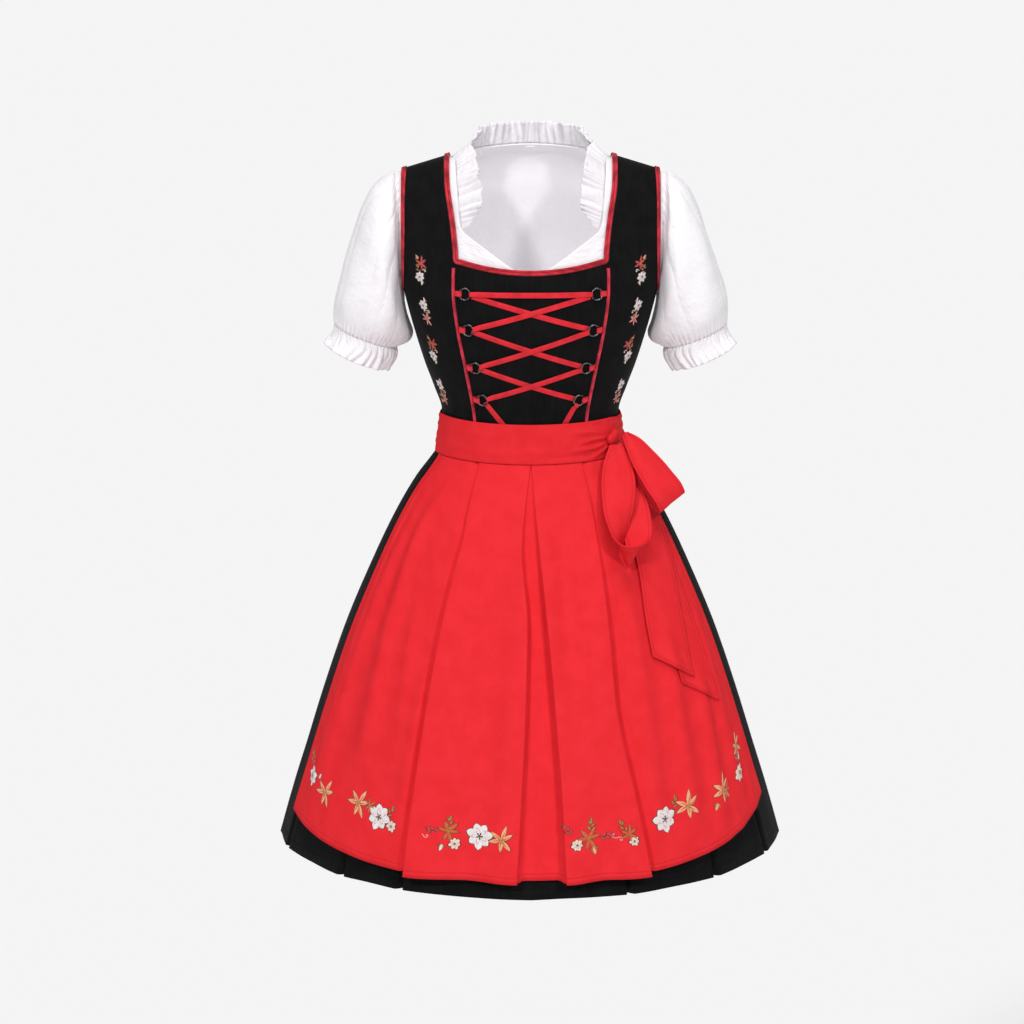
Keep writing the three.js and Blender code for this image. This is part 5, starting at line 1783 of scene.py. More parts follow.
@dataclass
class PleatedWrap:
    """Cloth pleated round an oval that grows towards the hem."""

    levels: Array
    width: Callable
    depth: Callable
    looseness: Array
    cloth: float

    def column(self, angle: Array) -> Column:
        """A plain column at an angle."""
        zero = np.zeros(len(self.levels))
        return Column(angle + zero, zero, zero)

    def fold(self, angle: Array, facing: int, underlay: Array, rise: float) -> list[Column]:
        """Columns of one fold.

        Args:
            angle: Where its edge stands, by level.
            facing: 1 when the edge faces towards larger angles, or -1.
            underlay: How deep the cloth goes back under, by level.
            rise: Length over which the next face climbs from under this one; 0 leaves it below.

        Returns:
            Columns in the order of larger angles.
        """
        zero = np.zeros(len(self.levels))
        angle = angle + zero
        outer = (2 * self.cloth + self.looseness) / 2
        inner = self.looseness / 2
        second = -2 * outer
        third = second - 2 * inner
        rows = [(outer * math.sin(turn), -outer * (1 - math.cos(turn)))
                for turn in np.linspace(0, math.pi, 7)]
        rows += [(-underlay * share, second) for share in (0.25, 0.5, 0.75)]
        rows += [(-underlay - inner * math.sin(turn), second - inner * (1 - math.cos(turn)))
                 for turn in np.linspace(0, math.pi, 4)]
        rows += [(-underlay * share, third) for share in (0.75, 0.5, 0.25, 0.0)]
        if rise:
            rows += [(rise * share + zero, third * (1 - smoothstep(share, 0, 1)))
                     for share in (0.15, 0.3, 0.45, 0.6, 0.75, 0.88, 1.0)]
        columns = [Column(angle, facing * along, off) for along, off in rows]
        return columns if facing > 0 else columns[::-1]

    def grid(self, columns: Sequence[Column], hem: Callable, relief: Callable) -> Array:
        """Points of the cloth.

        Args:
            columns: Its columns.
            hem: Height at an angle and a level.
            relief: Height off the cloth's face at an angle and a height.

        Returns:
            Rows of points from the hem up.
        """
        angle, along, off = (np.stack([getattr(column, what) for column in columns], axis=1)
                             for what in ("angle", "along", "off"))
        z = hem(angle, self.levels[:, None])
        width, depth = self.width(z), self.depth(z)
        turn = np.radians(angle)
        turn = turn + along / np.hypot(width * np.cos(turn), depth * np.sin(turn))
        return on_oval(turn, z, width, depth, off + relief(np.degrees(turn), z))


SKIRT_WIDTH = Curve(SKIRT_ROWS, 1)
SKIRT_DEPTH = Curve(SKIRT_ROWS, 2)


def looseness(z: Array) -> Array:
    """Space between a pleat's layers: pressed flat at the waist, looser towards the hem."""
    return mix(2.6, 0.5, smoothstep(z, -700, -430))


@dataclass
class Skirt:
    """The pleated skirt, in a front and a back part with the pleats' edges facing outwards."""

    left_pleats: tuple[float, ...] = (21, 44, 67, 99, 126, 153)
    right_pleats: tuple[float, ...] = (29, 45, 72, 99, 126, 153)
    seam: float = 85.5
    rise: float = 16.0
    half_gap: float = 0.02
    underlay: tuple[float, float] = (14, 38)    # how deep a pleat goes under, at the hem and at the waist

    def wrap(self) -> PleatedWrap:
        """The oval that the skirt is pleated round.

        Returns:
            The oval and its levels.
        """
        levels = np.concatenate([np.linspace(SKIRT_HEM, -480, 46), np.linspace(-470, SKIRT_TOP, 16)])
        loose = looseness(levels) + 2.2 * (1 - smoothstep(levels, SKIRT_HEM, -760))
        return PleatedWrap(levels, SKIRT_WIDTH, SKIRT_DEPTH, loose, CLOTH["skirt"])

    def half(self, wrap: PleatedWrap, pleats: Sequence[float], start: float, end: float,
             drift: Drift) -> list[Column]:
        """Columns from one angle to a larger one, with the pleats between them.

        Args:
            wrap: The oval that it is pleated round.
            pleats: Angles of the pleats' edges.
            start: First angle.
            end: Last angle.
            drift: Its unevenness.

        Returns:
            The columns.
        """
        underlay = mix(*self.underlay, smoothstep(wrap.levels, SKIRT_HEM, -430))
        low = 1 - smoothstep(wrap.levels, SKIRT_HEM, -640)
        columns = [wrap.column(np.array(start))]
        for angle in [a for a in pleats if start < a < end]:
            sway = 0.8 * low * drift(angle / 9.0, wrap.levels / 240)
            fold = wrap.fold(angle + sway, 1, underlay, self.rise)
            sag = -(3.2 + 1.4 * drift(angle / 5.0, 7.0)) * low
            columns += columns[-1].towards(fold[0], 16, sag) + fold
        last = wrap.column(np.array(end))
        return columns + columns[-1].towards(last, 12, -2.5 * low) + [last]

    def relief(self, drift: Drift) -> Callable:
        """Slow unevenness, always inwards, so that the apron stays clear.

        Args:
            drift: Its unevenness.

        Returns:
            A function of angle and height.
        """
        def height(angle: Array, z: Array) -> Array:
            """Height at an angle and a height."""
            low = 1 - smoothstep(z, SKIRT_HEM, -560)
            return -(1.2 + 1.2 * drift(angle / 6.5, z / 160)) * low
        return height

    def build(self) -> None:
        """Make both parts."""
        wrap = self.wrap()
        drift = Drift(41)
        relief = self.relief(drift)
        for part, start, end, rests_on in (
                ("front", 0, self.seam - self.half_gap, "bodice_front"),
                ("back", self.seam + self.half_gap, 180, "bodice_back_left")):
            left = self.half(wrap, self.left_pleats, start, end, drift)
            right = self.half(wrap, self.right_pleats, start, end, drift)
            if part == "front":
                columns = [column.mirrored(0) for column in right[:0:-1]] + left
            else:
                columns = left + [column.mirrored(180) for column in right[-2::-1]]
            points = wrap.grid(columns, lambda angle, z: z + 0 * angle, relief)
            Cloth(f"skirt_{part}", points, CLOTH["skirt"], Finish.BLACK, Held.GATHERED, (rests_on,),
                  hems=(Hem.FIRST,)).build()


@dataclass
class Apron:
    """The apron's panel, with a knife pleat on each side of an inverted box pleat."""

    knife_rise: float = 18.0
    # how deep the pleats go under, at the hem and at the top
    knife_underlay: tuple[float, float] = (16, 34)
    box_underlay: tuple[float, float] = (12, 30)
    corner_lift: tuple[float, float] = (36.0, 61.0)
    # for each pleat's edge: which way it faces, how wide and high the cloth swells up to it, and its fall
    swells: Table = (
        (-1, 14, 20, 1.6), (1, 11, 11, 1.6), (-1, 10, 15, 1.8), (1, 14, 20, 1.6),
    )

    @staticmethod
    def off(z: Array) -> Array:
        """How far the apron's face lies off the skirt's."""
        return 4.7 + 2 * looseness(z) + mix(1.5, 0, smoothstep(z, -520, -440))

    def creases(self) -> tuple[Crease, ...]:
        """The panel's soft folds, by depth down it and angle round it.

        Returns:
            The creases.
        """
        return (
            Crease(((445, -45), (540, -50), (640, -49), (760, -47), (900, -46)), 3.4, 8),
            Crease(((600, -40), (700, -38), (820, -36)), 2.6, 4),
            Crease(((470, -58), (620, -60), (800, -60), (960, -58)), 3.2, 6),
            Crease(((690, -31), (830, -31), (990, -32)), 2.4, 5),
            Crease(((480, -15), (700, -14), (980, -16)), 5.0, 6),
            Crease(((700, -5), (990, -7)), 2.4, 4),
            Crease(((470, 18), (640, 16), (990, 14)), 4.2, 6),
            Crease(((560, 34), (700, 33), (850, 31), (995, 29)), 3.0, 6),
            Crease(((640, 45), (800, 42), (995, 39)), 3.2, 8),
            Crease(((700, 55), (860, 51), (995, 48)), 2.8, 7),
            Crease(((620, 64), (760, 61), (960, 58)), 2.6, 5),
            Crease(((440, -66), (700, -64), (995, -62)), 1.6, 4),
            Crease(((880, -54), (995, -54)), 1.8, 5, 0.8),
            Crease(((900, 54), (995, 56)), 1.6, 5, 0.8), Crease(((860, 65), (980, 64)), 1.5, 5, 0.8),
        )

    def relief(self, angle: Array, z: Array) -> Array:
        """Height of the soft folds, always outwards from the skirt.

        Args:
            angle: Angle round the body, in degrees.
            z: Height.

        Returns:
            The height.
        """
        drift = Drift(51)
        low = 1 - smoothstep(z, APRON_HEM, -560)
        waves = (1.4 + 1.4 * drift(angle / 5.5, z / 150)) * low
        swell = 0 * waves
        for column, (facing, width, rise, fall) in enumerate(self.swells, 1):
            beyond = (angle - Curve(APRON_PLEAT_ROWS, column)(z)) * facing
            swell = swell + rise * smoothstep(beyond, -width, 0) * (1 - smoothstep(beyond, 0.3, fall))
        return np.maximum(creased(self.creases(), angle, -z) + waves, 0) + swell * smoothstep(-z, 430, 660)

    def hem(self, angle: Array, level: Array) -> Array:
        """The hem rises towards its corners.

        Args:
            angle: Angle round the body, in degrees.
            level: Height without the rise.

        Returns:
            The height with it.
        """
        corner = np.where(np.asarray(angle) > 0, self.corner_lift[1], self.corner_lift[0])
        lift = corner * (np.abs(angle) / APRON_SIDE_ANGLE) ** 2.8
        return level + lift * smoothstep(-level, 500, -APRON_HEM)

    def wrap(self) -> PleatedWrap:
        """The oval that the apron lies on."""
        levels = np.concatenate([np.linspace(APRON_HEM, -520, 66), np.linspace(-512, APRON_TOP, 20)])
        return PleatedWrap(levels, self.width, self.depth, looseness(levels), CLOTH["apron"])

    def width(self, z: Array) -> Array:
        """Half width of the apron's face at a height."""
        return SKIRT_WIDTH(z) + self.off(z)

    def depth(self, z: Array) -> Array:
        """Half depth of the apron's face at a height."""
        return SKIRT_DEPTH(z) + self.off(z)

    def build(self) -> None:
        """Make the panel."""
        wrap = self.wrap()
        z = wrap.levels
        knife = mix(*self.knife_underlay, smoothstep(z, APRON_HEM, APRON_TOP))
        box = mix(*self.box_underlay, smoothstep(z, APRON_HEM, APRON_TOP))
        right_knife, box_right, box_left, left_knife = (
            Curve(APRON_PLEAT_ROWS, column)(z) for column in (1, 2, 3, 4))
        folds = [
            wrap.fold(right_knife, -1, knife, self.knife_rise), wrap.fold(box_right, 1, box, 0),
            wrap.fold(box_left, -1, box, 0), wrap.fold(left_knife, 1, knife, self.knife_rise),
            [wrap.column(np.array(APRON_SIDE_ANGLE))],
        ]
        columns = [wrap.column(np.array(-APRON_SIDE_ANGLE))]
        for fold, count in zip(folds, (60, 42, 16, 36, 60)):
            columns = columns + columns[-1].towards(fold[0], count, 0 * z) + fold
        Cloth("apron_panel", wrap.grid(columns, self.hem, self.relief), CLOTH["apron"], Finish.RED,
              Held.GATHERED, ("skirt_front",), hems=(Hem.FIRST, Hem.SIDES)).build()

    def place(self, angle: float, height: float) -> Callable:
        """The apron's face about a spot of it, as a map from the embroidery's own plane.

        Args:
            angle: Where the spot lies round the body.
            height: How far it lies above the hem.

        Returns:
            A function of distance across, distance up and height off the cloth.
        """
        centre = math.radians(angle)

        def onto(across: Array, up: Array, off: Array) -> Array:
            """Points of the face.

            Args:
                across: Distance across.
                up: Distance up.
                off: Height off the cloth.

            Returns:
                The points.
            """
            level = APRON_HEM + height + up
            turn = centre + across / np.hypot(self.width(level) * math.cos(centre),
                                              self.depth(level) * math.sin(centre))
            z = self.hem(np.degrees(turn), level)
            return on_oval(turn, z, self.width(z), self.depth(z), off + self.relief(np.degrees(turn), z))
        return onto


# ---- waistband, bow and tails

@dataclass
class WaistTies:
    """The apron's band, its ties round the waist, and the bow at the wearer's left front."""

    apron: Apron
    knot_angle: float = 56.5
    knot_height: float = -404.0
    knot_size: Triple = (13.0, 8.5, 4.6)
    knot_turn: float = 32.0
    knot_lift: float = 1.3
    tail_slant: float = 20.0
    tie_inside: float = 3.4
    band_start: float = -78.0
    tie_end: float = 281.0
    tie_levels: tuple[float, float] = (-429, -381)
    # the band's half width and half depth, each at its lower and at its upper edge
    band_halves: tuple[tuple[float, float], tuple[float, float]] = ((144, 136.2), (111, 104))
    # the ribbon's edges round the front loop: the one nearer to the viewer, and the one behind it
    front_loop: tuple[tuple[tuple[float, ...], tuple[float, ...]], ...] = (
        ((115.5, -76.5, -414), (132, -69, -413)), ((107, -92, -434), (144, -79, -431)),
        ((103, -112, -455), (151, -92, -453)), ((103, -132, -477), (152, -111, -471)),
        ((106, -152, -499), (149, -125, -492)), ((114, -169, -519), (141, -134, -521)),
        ((125, -180, -533), (131, -150, -557)), ((142, -183, -538), (142, -155, -577)),
        ((160, -171, -539), (148, -147, -569)), ((174, -144, -536), (138, -143, -548)),
        ((176, -124, -523), (128, -134, -521)), ((171, -101, -497), (124, -116, -490)),
        ((159, -79, -467), (122, -96, -462)), ((146, -56, -441), (124, -76, -438)),
        ((136, -52, -421), (126, -65, -418)),
    )
    side_route: Table = (
        (135.5, -54.5, -401), (145, -64, -412), (161, -75, -435), (184, -84, -467), (206, -90, -496),
    )
    side_across: Triple = (0.73, 0.57, 0.37)
    # share of the way out, distance off the loop's middle, half width
    side_loop: Table = (
        (0.02, 3, 5), (0.14, 6, 12), (0.4, 8, 21), (0.7, 8, 26), (0.93, 6, 27), (1, 0, 27),
        (0.93, -6, 27), (0.7, -8, 26), (0.4, -8, 20), (0.14, -5, 11), (0.02, -2, 4),
    )
    # height, angle, half width
    front_tail: Table = (
        (-416, 55, 5), (-455, 54, 18), (-520, 52.5, 30), (-580, 50.3, 33), (-650, 46.3, 34), (-721, 44, 33),
    )
    side_tail: Table = (
        (-416, 60, 5), (-455, 63, 16), (-520, 58, 26), (-600, 53, 31), (-700, 52.3, 32), (-765, 52.5, 32),
    )

    @staticmethod
    def oval(angle: Array, z: Array, width: Array, depth: Array, off: Array) -> Array:
        """Points beside an oval round the body."""
        turn, z = np.broadcast_arrays(np.radians(angle), z)
        return on_oval(turn, z, width, depth, np.broadcast_to(off, turn.shape))

    def band_shape(self, z: Array) -> tuple[Array, ...]:
        """Half width and half depth of the band's face at a height."""
        share = (z - BAND_BOTTOM) / (BAND_TOP - BAND_BOTTOM)
        return tuple(mix(*half, share) for half in self.band_halves)

    def hang_shape(self, z: Array) -> tuple[Array, Array]:
        """Half width and half depth of what a tie hangs on: the band, and below it the apron.

        Args:
            z: Height.

        Returns:
            The two measures.
        """
        width, depth = self.band_shape(z)
        on_band = z > BAND_BOTTOM - 4
        return (np.maximum(np.where(on_band, width, 0), self.apron.width(z)),
                np.maximum(np.where(on_band, depth, 0), self.apron.depth(z)))

    def band_folds(self) -> tuple[Crease, ...]:
        """Folds of the band, by angle round the body and height.

        Returns:
            The folds.
        """
        return (
            Crease(((22, -390), (38, -391), (48, -396), (57, -401)), 5, 4.2, 0.4),
            Crease(((32, -380), (44, -384), (57, -394)), 3.5, -1.4, 0.5),
            Crease(((27, -412), (34, -405.5), (45, -403.5), (57, -405)), 2.2, 3.4, 0.3),
            Crease(((30, -411.5), (38, -410), (57, -407)), 2.4, -2.2, 0.4),
            Crease(((22, -417), (38, -416), (48, -413), (57, -409)), 3.2, 3.8, 0.4),
            Crease(((2, -425), (30, -426), (52, -419)), 3.5, -1.5, 0.4),
            Crease(((36, -432), (57, -414)), 3, 2.8, 0.4),
            Crease(((-74, -398), (-40, -394), (-10, -398)), 7, 0.9),
            Crease(((-60, -416), (-20, -420), (16, -415)), 7, 0.9),
        )

    def band(self, trims: Sequence[Piece]) -> None:
        """The waistband, drawn into folds next to the knot.

        Args:
            trims: Pieces that go with it.
        """
        angle = np.linspace(self.band_start, self.knot_angle - 0.06, 221)[None, :]
        z = np.linspace(BAND_BOTTOM, BAND_TOP, 29)[:, None]
        relief = creased(self.band_folds(), z, angle)
        edge = np.minimum(z - BAND_BOTTOM, BAND_TOP - z)
        relief = relief * smoothstep(edge, 0, 5) - 0.5 * np.exp(-edge / 1.5)
        width, depth = self.band_shape(z)
        Cloth("apron_band", self.oval(angle, z, width, depth, relief), CLOTH["band"], Finish.RED,
              Held.STRETCHED, ("bodice_front", "skirt_front"), trims=trims).build()

    def tie_round(self) -> None:
        """The ties round the sides and the back, with folds that run along them."""
        angle = np.linspace(self.knot_angle + 0.06, self.tie_end, 261)[None, :]
        away = smoothstep(angle, self.knot_angle, self.knot_angle + 18)
        share = np.linspace(0, 1, 23)[:, None]
        low, high = self.tie_levels
        z = mix(mix(BAND_BOTTOM, low, away), mix(BAND_TOP, high, away), share)
        drift = Drift(61)
        run = z + 5 * drift(angle / 26, 1.0)
        relief = 0.9 * np.sin(run * 0.42) + 0.8 * drift(angle / 30, z / 9)
        relief = (relief + 0.9) * smoothstep(np.minimum(share, 1 - share), 0, 0.15) * smoothstep(away, 0, 0.4)
        width, depth = self.band_shape(z)
        points = self.oval(angle, z, width, depth, relief - self.tie_inside * away)
        Cloth("apron_tie_round", points, CLOTH["band"], Finish.RED,
              Held.STRETCHED, ("bodice_back_left", "bodice_back_right")).build()

    def knot_axes(self) -> tuple[Array, Array, Array, Array]:
        """The knot's seat on the band, and the directions ahead, up and outward from it.

        Returns:
            The seat and the three unit vectors.
        """
        z = np.array(self.knot_height)
        shape = self.band_shape(z)
        spots = [self.oval(np.array(self.knot_angle + step), z, *shape, off)
                 for step, off in ((0, 0), (1, 0), (-1, 0), (0, 1))]
        outward = unit(spots[3] - spots[0])
        ahead = unit(spots[1] - spots[2])
        return spots[0], ahead, np.cross(outward, ahead), outward

    def knot(self) -> Piece:
        """The knot, with the tie's folds drawn across it.

        Returns:
            The piece.
        """
        shape = bmesh.new()
        shape.loops.layers.uv.new("weave")
        bmesh.ops.create_uvsphere(shape, u_segments=64, v_segments=40, radius=1, calc_uvs=True)
        centre, ahead, up, outward = self.knot_axes()
        turn = math.radians(self.knot_turn)
        ahead, up = ahead * math.cos(turn) + up * math.sin(turn), up * math.cos(turn) - ahead * math.sin(turn)
        size = self.knot_size
        drift = Drift(71)
        for vert in shape.verts:
            a, b, c = vert.co
            full = (abs(a) ** 3 + abs(b) ** 3 + abs(c) ** 3) ** (1 / 3)
            slant = b * 5.5 + 0.5 * float(drift(a * 1.5, b * 1.5))
            groove = 1 - 0.13 * abs(math.cos(slant)) ** 6 * (1 - 0.3 * abs(a))
            waist = 1 - 0.22 * (1 - min(1, abs(a) * 1.2))
            a, b, c = (value / full * groove for value in (a, b, c))
            where = (centre + ahead * (a * size[0]) + up * (b * size[1] * waist)
                     + outward * (c * size[2] + size[2] + self.knot_lift - 0.3))
            vert.co = Vector(where * MM)
        bmesh.ops.recalc_face_normals(shape, faces=shape.faces)
        mesh = mesh_of(shape, "bow_knot_cloth")
        layer = mesh.uv_layers["weave"].data
        own = np.empty(len(layer) * 2)
        layer.foreach_get("uv", own)
        layer.foreach_set("uv", own * 0.06)
        piece = smoothed(mesh)
        adopt(piece, Finish.RED, "bow_knot")
        return piece

    @staticmethod
    def strip(centre: Array, across: Array, half: Array, relief: Array) -> Array:
        """A strip of the tie about a line, with gathers near its ends.

        Args:
            centre: Points of its middle.
            across: Unit vectors across it.
            half: Half its width at each point.
            relief: Height off the strip, for each row and column.

        Returns:
            Rows of points.
        """
        share = np.linspace(-1, 1, relief.shape[1])
        flat = centre[:, None] + across[:, None] * (half[:, None] * share)[..., None]
        return lifted(flat, relief, turn=1)

    @staticmethod
    def gathers(length: Array, columns: int, strength: float, reach: float, seed: int,
                both_ends: bool) -> Array:
        """Folds that fan out of the knot.

        Args:
            length: Distance of each row from the strip's start.
            columns: Number of columns.
            strength: Height of the folds at the knot.
            reach: Distance over which they die away.
            seed: Seed of their unevenness.
            both_ends: Whether the strip comes back to the knot.

        Returns:
            A height for each row and column.
        """
        share = np.linspace(-1, 1, columns)[None, :]
        drift = Drift(seed)
        near = length[-1] - length if both_ends else length + 1e9
        fade = np.exp(-np.minimum(length, near) / reach)[:, None]
        waves = np.cos(share * 5.2 + 1.1 * drift(share * 2, length[:, None] / 60) + seed)
        slow = drift(share * 1.4 + seed, length[:, None] / 45)
        slow = slow * (1.1 if both_ends else 0.3)
        return strength * fade * waves + slow * smoothstep(length, 0, 40)[:, None]

    def loops(self) -> list[Piece]:
        """Both loops of the bow.

        Returns:
            The pieces.
        """
        edges = np.array(self.front_loop, float)
        across = edges[:, 1] - edges[:, 0]
        half = np.linalg.norm(across, axis=1) / 2
        front = self.loop("bow_loop_front", edges.mean(axis=1), unit(across), half, 81)
        route = np.array(self.side_route, float)
        knots = lengths_along(route)
        share, gap, half = np.array(self.side_loop, float).T
        middle = through(knots, route, share * knots[-1])
        tangent = unit(through(knots, route, np.minimum(share + 0.01, 1) * knots[-1])
                       - through(knots, route, (np.minimum(share + 0.01, 1) - 0.02) * knots[-1]))
        across = np.array(self.side_across) - tangent * (tangent @ np.array(self.side_across))[:, None]
        across = unit(across)
        facing = unit(np.cross(across, tangent))
        return [front, self.loop("bow_loop_side", middle - facing * gap[:, None], across, half, 91)]

    def loop(self, node: str, centre: Array, across: Array, half: Array,
             seed: int) -> Piece:
        """One loop from the rows of its middle line.

        Args:
            node: The solid that it stands for.
            centre: Points of its middle.
            across: Unit vectors across it.
            half: Half its width at each point.
            seed: Seed of its unevenness.

        Returns:
            The piece.
        """
        knots = lengths_along(centre)
        where = np.linspace(0, knots[-1], 121)
        relief = self.gathers(where, 31, 1.6, 26, seed, True)
        points = self.strip(through(knots, centre, where), unit(through(knots, across, where)),
                            through(knots, half, where), relief)
        return Cloth(node, points, CLOTH["band"], Finish.TIE, Held.FOLDED, ("bow_knot",), turn=1,
                     hems=(Hem.SIDES,)).build()

    def tail(self, node: str, table: Sequence[Sequence[float]], lift: float, seed: int) -> Piece:
        """A tail that hangs on the apron.

        Args:
            node: The solid that it stands for.
            table: Rows of height, angle and half width.
            lift: Height off the apron.
            seed: Seed of its unevenness.

        Returns:
            The piece.
        """
        angle, half = Curve(table, 1), Curve(table, 2)
        first, last = table[0][0], table[-1][0]
        share = np.linspace(-1, 1, 33)[None, :]
        t = np.linspace(0, 1, 101)[:, None]
        z = mix(first, last, t ** 1.3) - self.tail_slant * share * np.maximum(0, t - 0.8) * 5
        width, depth = self.hang_shape(z)
        turn = np.radians(angle(z))
        speed = np.radians(1) * np.hypot(width * np.cos(turn), depth * np.sin(turn))
        relief = self.gathers(first - z[:, 16], 33, 1.3, 24, seed, False) + 1.2
        relief = relief + self.apron.relief(angle(z) + share * half(z) / speed, z)
        points = self.oval(angle(z) + share * half(z) / speed, z, width, depth, lift + relief)
        return Cloth(node, points[::-1], CLOTH["band"], Finish.TIE, Held.HUNG, ("apron_panel",),
                     hems=(Hem.FIRST, Hem.SIDES)).build()

    def build(self) -> None:
        """Make the band and everything tied to it."""
        self.band([self.knot()])
        self.tie_round()
        self.loops()
        self.tail("tie_tail_front", self.front_tail, 5.6, 93)
        self.tail("tie_tail_side", self.side_tail, 2.2, 97)


# ---- embroidery

@dataclass(frozen=True)
class Petal:
    """One padded shape of satin stitch on the embroidery's own plane."""

    x: float
    y: float
    turn: float
    length: float
    width: float
    thread: Finish
    lift: float = 0.25
    blunt: float = 1.0

    def outlined(self, edge: float = 0.6) -> "Petal":
        """The darker stitches that show round it.

        Args:
            edge: How far they reach out.

        Returns:
            The petal of darker stitches.
        """
        angle = math.radians(self.turn)
        return Petal(self.x - math.sin(angle) * edge * -0.6, self.y - math.cos(angle) * edge * 0.6, self.turn,
                     self.length + 2 * edge, self.width + 2 * edge, Finish.BROWN, 0.12, self.blunt)


@dataclass
class Motif:
    """A group of petals, drawn by methods that each add one flower, leaf spray or tendril."""

    petals: list[Petal] = field(default_factory=list)

    def stitch(self, *values: object) -> None:
        """Add a petal by its values."""
        self.petals.append(Petal(*values))

    def add(self, *values: object) -> None:
        """Add a petal by its values, with its outline under it."""
        self.petals.append(Petal(*values).outlined())
        self.stitch(*values)

    def star(self, x: float, y: float, size: float, turn: float, thread: Finish) -> None:
        """A lily of six slender petals with a knotted heart.

        Args:
            x: Distance across from the middle.
            y: Distance up from the middle.
            size: Its size across.
            turn: How far it is turned, in degrees.
            thread: Its thread.
        """
        for k, reach in enumerate((1.0, 0.82, 0.94, 0.78, 0.9, 0.86)):
            angle = turn + 60 * k + 7 * (-1) ** k
            length = size * 0.56 * reach
            self.add(x, y, angle, length, size * 0.15, thread, 0.6, 0.8)
            self.stitch(x, y, angle + 3, length * 0.62, size * 0.05, Finish.ORANGE, 1.05)
        for k in range(3):
            self.stitch(x, y, turn + 30 + 120 * k, size * 0.1, size * 0.08, Finish.OLIVE, 1.3, 0.5)

    def blossom(self, x: float, y: float, size: float, turn: float, thread: Finish) -> None:
        """A ruffled round flower: two rings of broad petals about a dark heart.

        Args:
            x: Distance across from the middle.
            y: Distance up from the middle.
            size: Its size across.
            turn: How far it is turned, in degrees.
            thread: Its thread.
        """
        for k in range(7):
            angle = turn + 360 / 7 * k
            self.add(x, y, angle, size * (0.5 if k % 2 else 0.45), size * 0.3, thread, 0.55, 0.4)
        for k in range(5):
            angle = turn + 20 + 72 * k
            self.stitch(x, y, angle, size * 0.31, size * 0.2, Finish.PINK, 0.8, 0.5)
            self.stitch(x, y, angle, size * 0.28, size * 0.16, thread, 1.1, 0.5)
        for k in range(5):
            self.stitch(x, y, turn + 72 * k, size * 0.14, size * 0.08, Finish.BROWN, 1.5, 0.6)

    def spray(self, x: float, y: float, length: float, turn: float, leaves: int, thread: Finish) -> None:
        """A stem with leaves on both sides and one at its tip.

        Args:
            x: Distance across from the middle.
            y: Distance up from the middle.
            length: Its length.
            turn: Which way it grows, in degrees.
            leaves: Number of the stem's side leaves.
            thread: Its thread.
        """
        angle = math.radians(turn)
        ahead = (math.sin(angle), math.cos(angle))
        self.stitch(x, y, turn, length * 0.8, 1.3, Finish.BROWN, 0.3, 0.4)
        for k in range(leaves):
            share = 0.15 + 0.7 * k / leaves
            side = 1 if k % 2 == 0 else -1
            self.add(x + ahead[0] * length * share, y + ahead[1] * length * share, turn + side * 48,
                     length * 0.36 * (1 - 0.3 * share), length * 0.13, thread, 0.4, 0.8)
        self.add(x + ahead[0] * length * 0.72, y + ahead[1] * length * 0.72, turn, length * 0.34,
                 length * 0.14, thread, 0.45, 0.8)

    def tendril(self, x: float, y: float, size: float, turn: float, hand: int, thread: Finish) -> None:
        """A stem that curls up at its end.

        Args:
            x: Distance across from the middle.
            y: Distance up from the middle.
            size: Its size across.
            turn: Which way it grows, in degrees.
            hand: 1 when it curls to the right, or -1.
            thread: Its thread.
        """
        angle, step = math.radians(turn), size / 6
        for k in range(11):
            self.stitch(x, y, math.degrees(angle), step * 1.35, 1.25, thread, 0.35, 0.35)
            x, y = x + math.sin(angle) * step, y + math.cos(angle) * step
            angle += hand * math.radians(12 + 5.2 * k)
            step *= 0.93

    def bud(self, x: float, y: float, size: float, turn: float, thread: Finish) -> None:
        """A bud between two small leaves.

        Args:
            x: Distance across from the middle.
            y: Distance up from the middle.
            size: Its length.
            turn: Which way it grows, in degrees.
            thread: Its thread.
        """
        self.add(x, y, turn, size, size * 0.45, thread, 0.55, 0.7)
        for side in (-1, 1):
            self.add(x, y, turn + side * 50, size * 0.62, size * 0.24, Finish.OLIVE, 0.4, 0.8)

    def build(self, name: str, onto: Callable, slot: str) -> None:
        """Make the motif as one piece on the garment.

        Args:
            name: Name of the piece.
            onto: Map from the motif's own plane to the garment.
            slot: The record's slot of its finish; not used.
        """
        shape = bmesh.new()
        layer = shape.loops.layers.uv.new("weave")
        threads = sorted({petal.thread for petal in self.petals}, key=lambda thread: thread.name)
        for petal in self.petals:
            made = bmesh.ops.create_grid(shape, x_segments=4, y_segments=7, size=0.5)["verts"]
            angle = math.radians(petal.turn)
            flat = {}
            for vert in made:
                across, t = 2 * vert.co.x, vert.co.y + 0.5
                bulge = math.sin(math.pi * t ** (0.8 + 0.5 * (1 - petal.blunt))) ** (0.4 + 0.5 * petal.blunt)
                side = across * petal.width / 2 * max(bulge, 0.02)
                ahead = petal.length * t
                dome = petal.lift * (0.15 + 0.85 * (1 - across ** 2)) + 0.05
                flat[vert] = (side, ahead)
                vert.co = (petal.x + side * math.cos(angle) + ahead * math.sin(angle),
                           petal.y - side * math.sin(angle) + ahead * math.cos(angle), dome)
            for face in {face for vert in made for face in vert.link_faces}:
                face.material_index = threads.index(petal.thread)
                for loop in face.loops:
                    side, ahead = flat[loop.vert]
                    loop[layer].uv = (side * MM, ahead * MM)
        bmesh.ops.recalc_face_normals(shape, faces=shape.faces)
        mesh = mesh_of(shape, name)
        plane = vertices(mesh)
        mesh.vertices.foreach_set("co", (onto(plane[:, 0], plane[:, 1], plane[:, 2]) * MM).ravel())
        piece = smoothed(mesh)
        for thread in threads:
            mesh.materials.append(thread.material())
        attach(piece, "root")


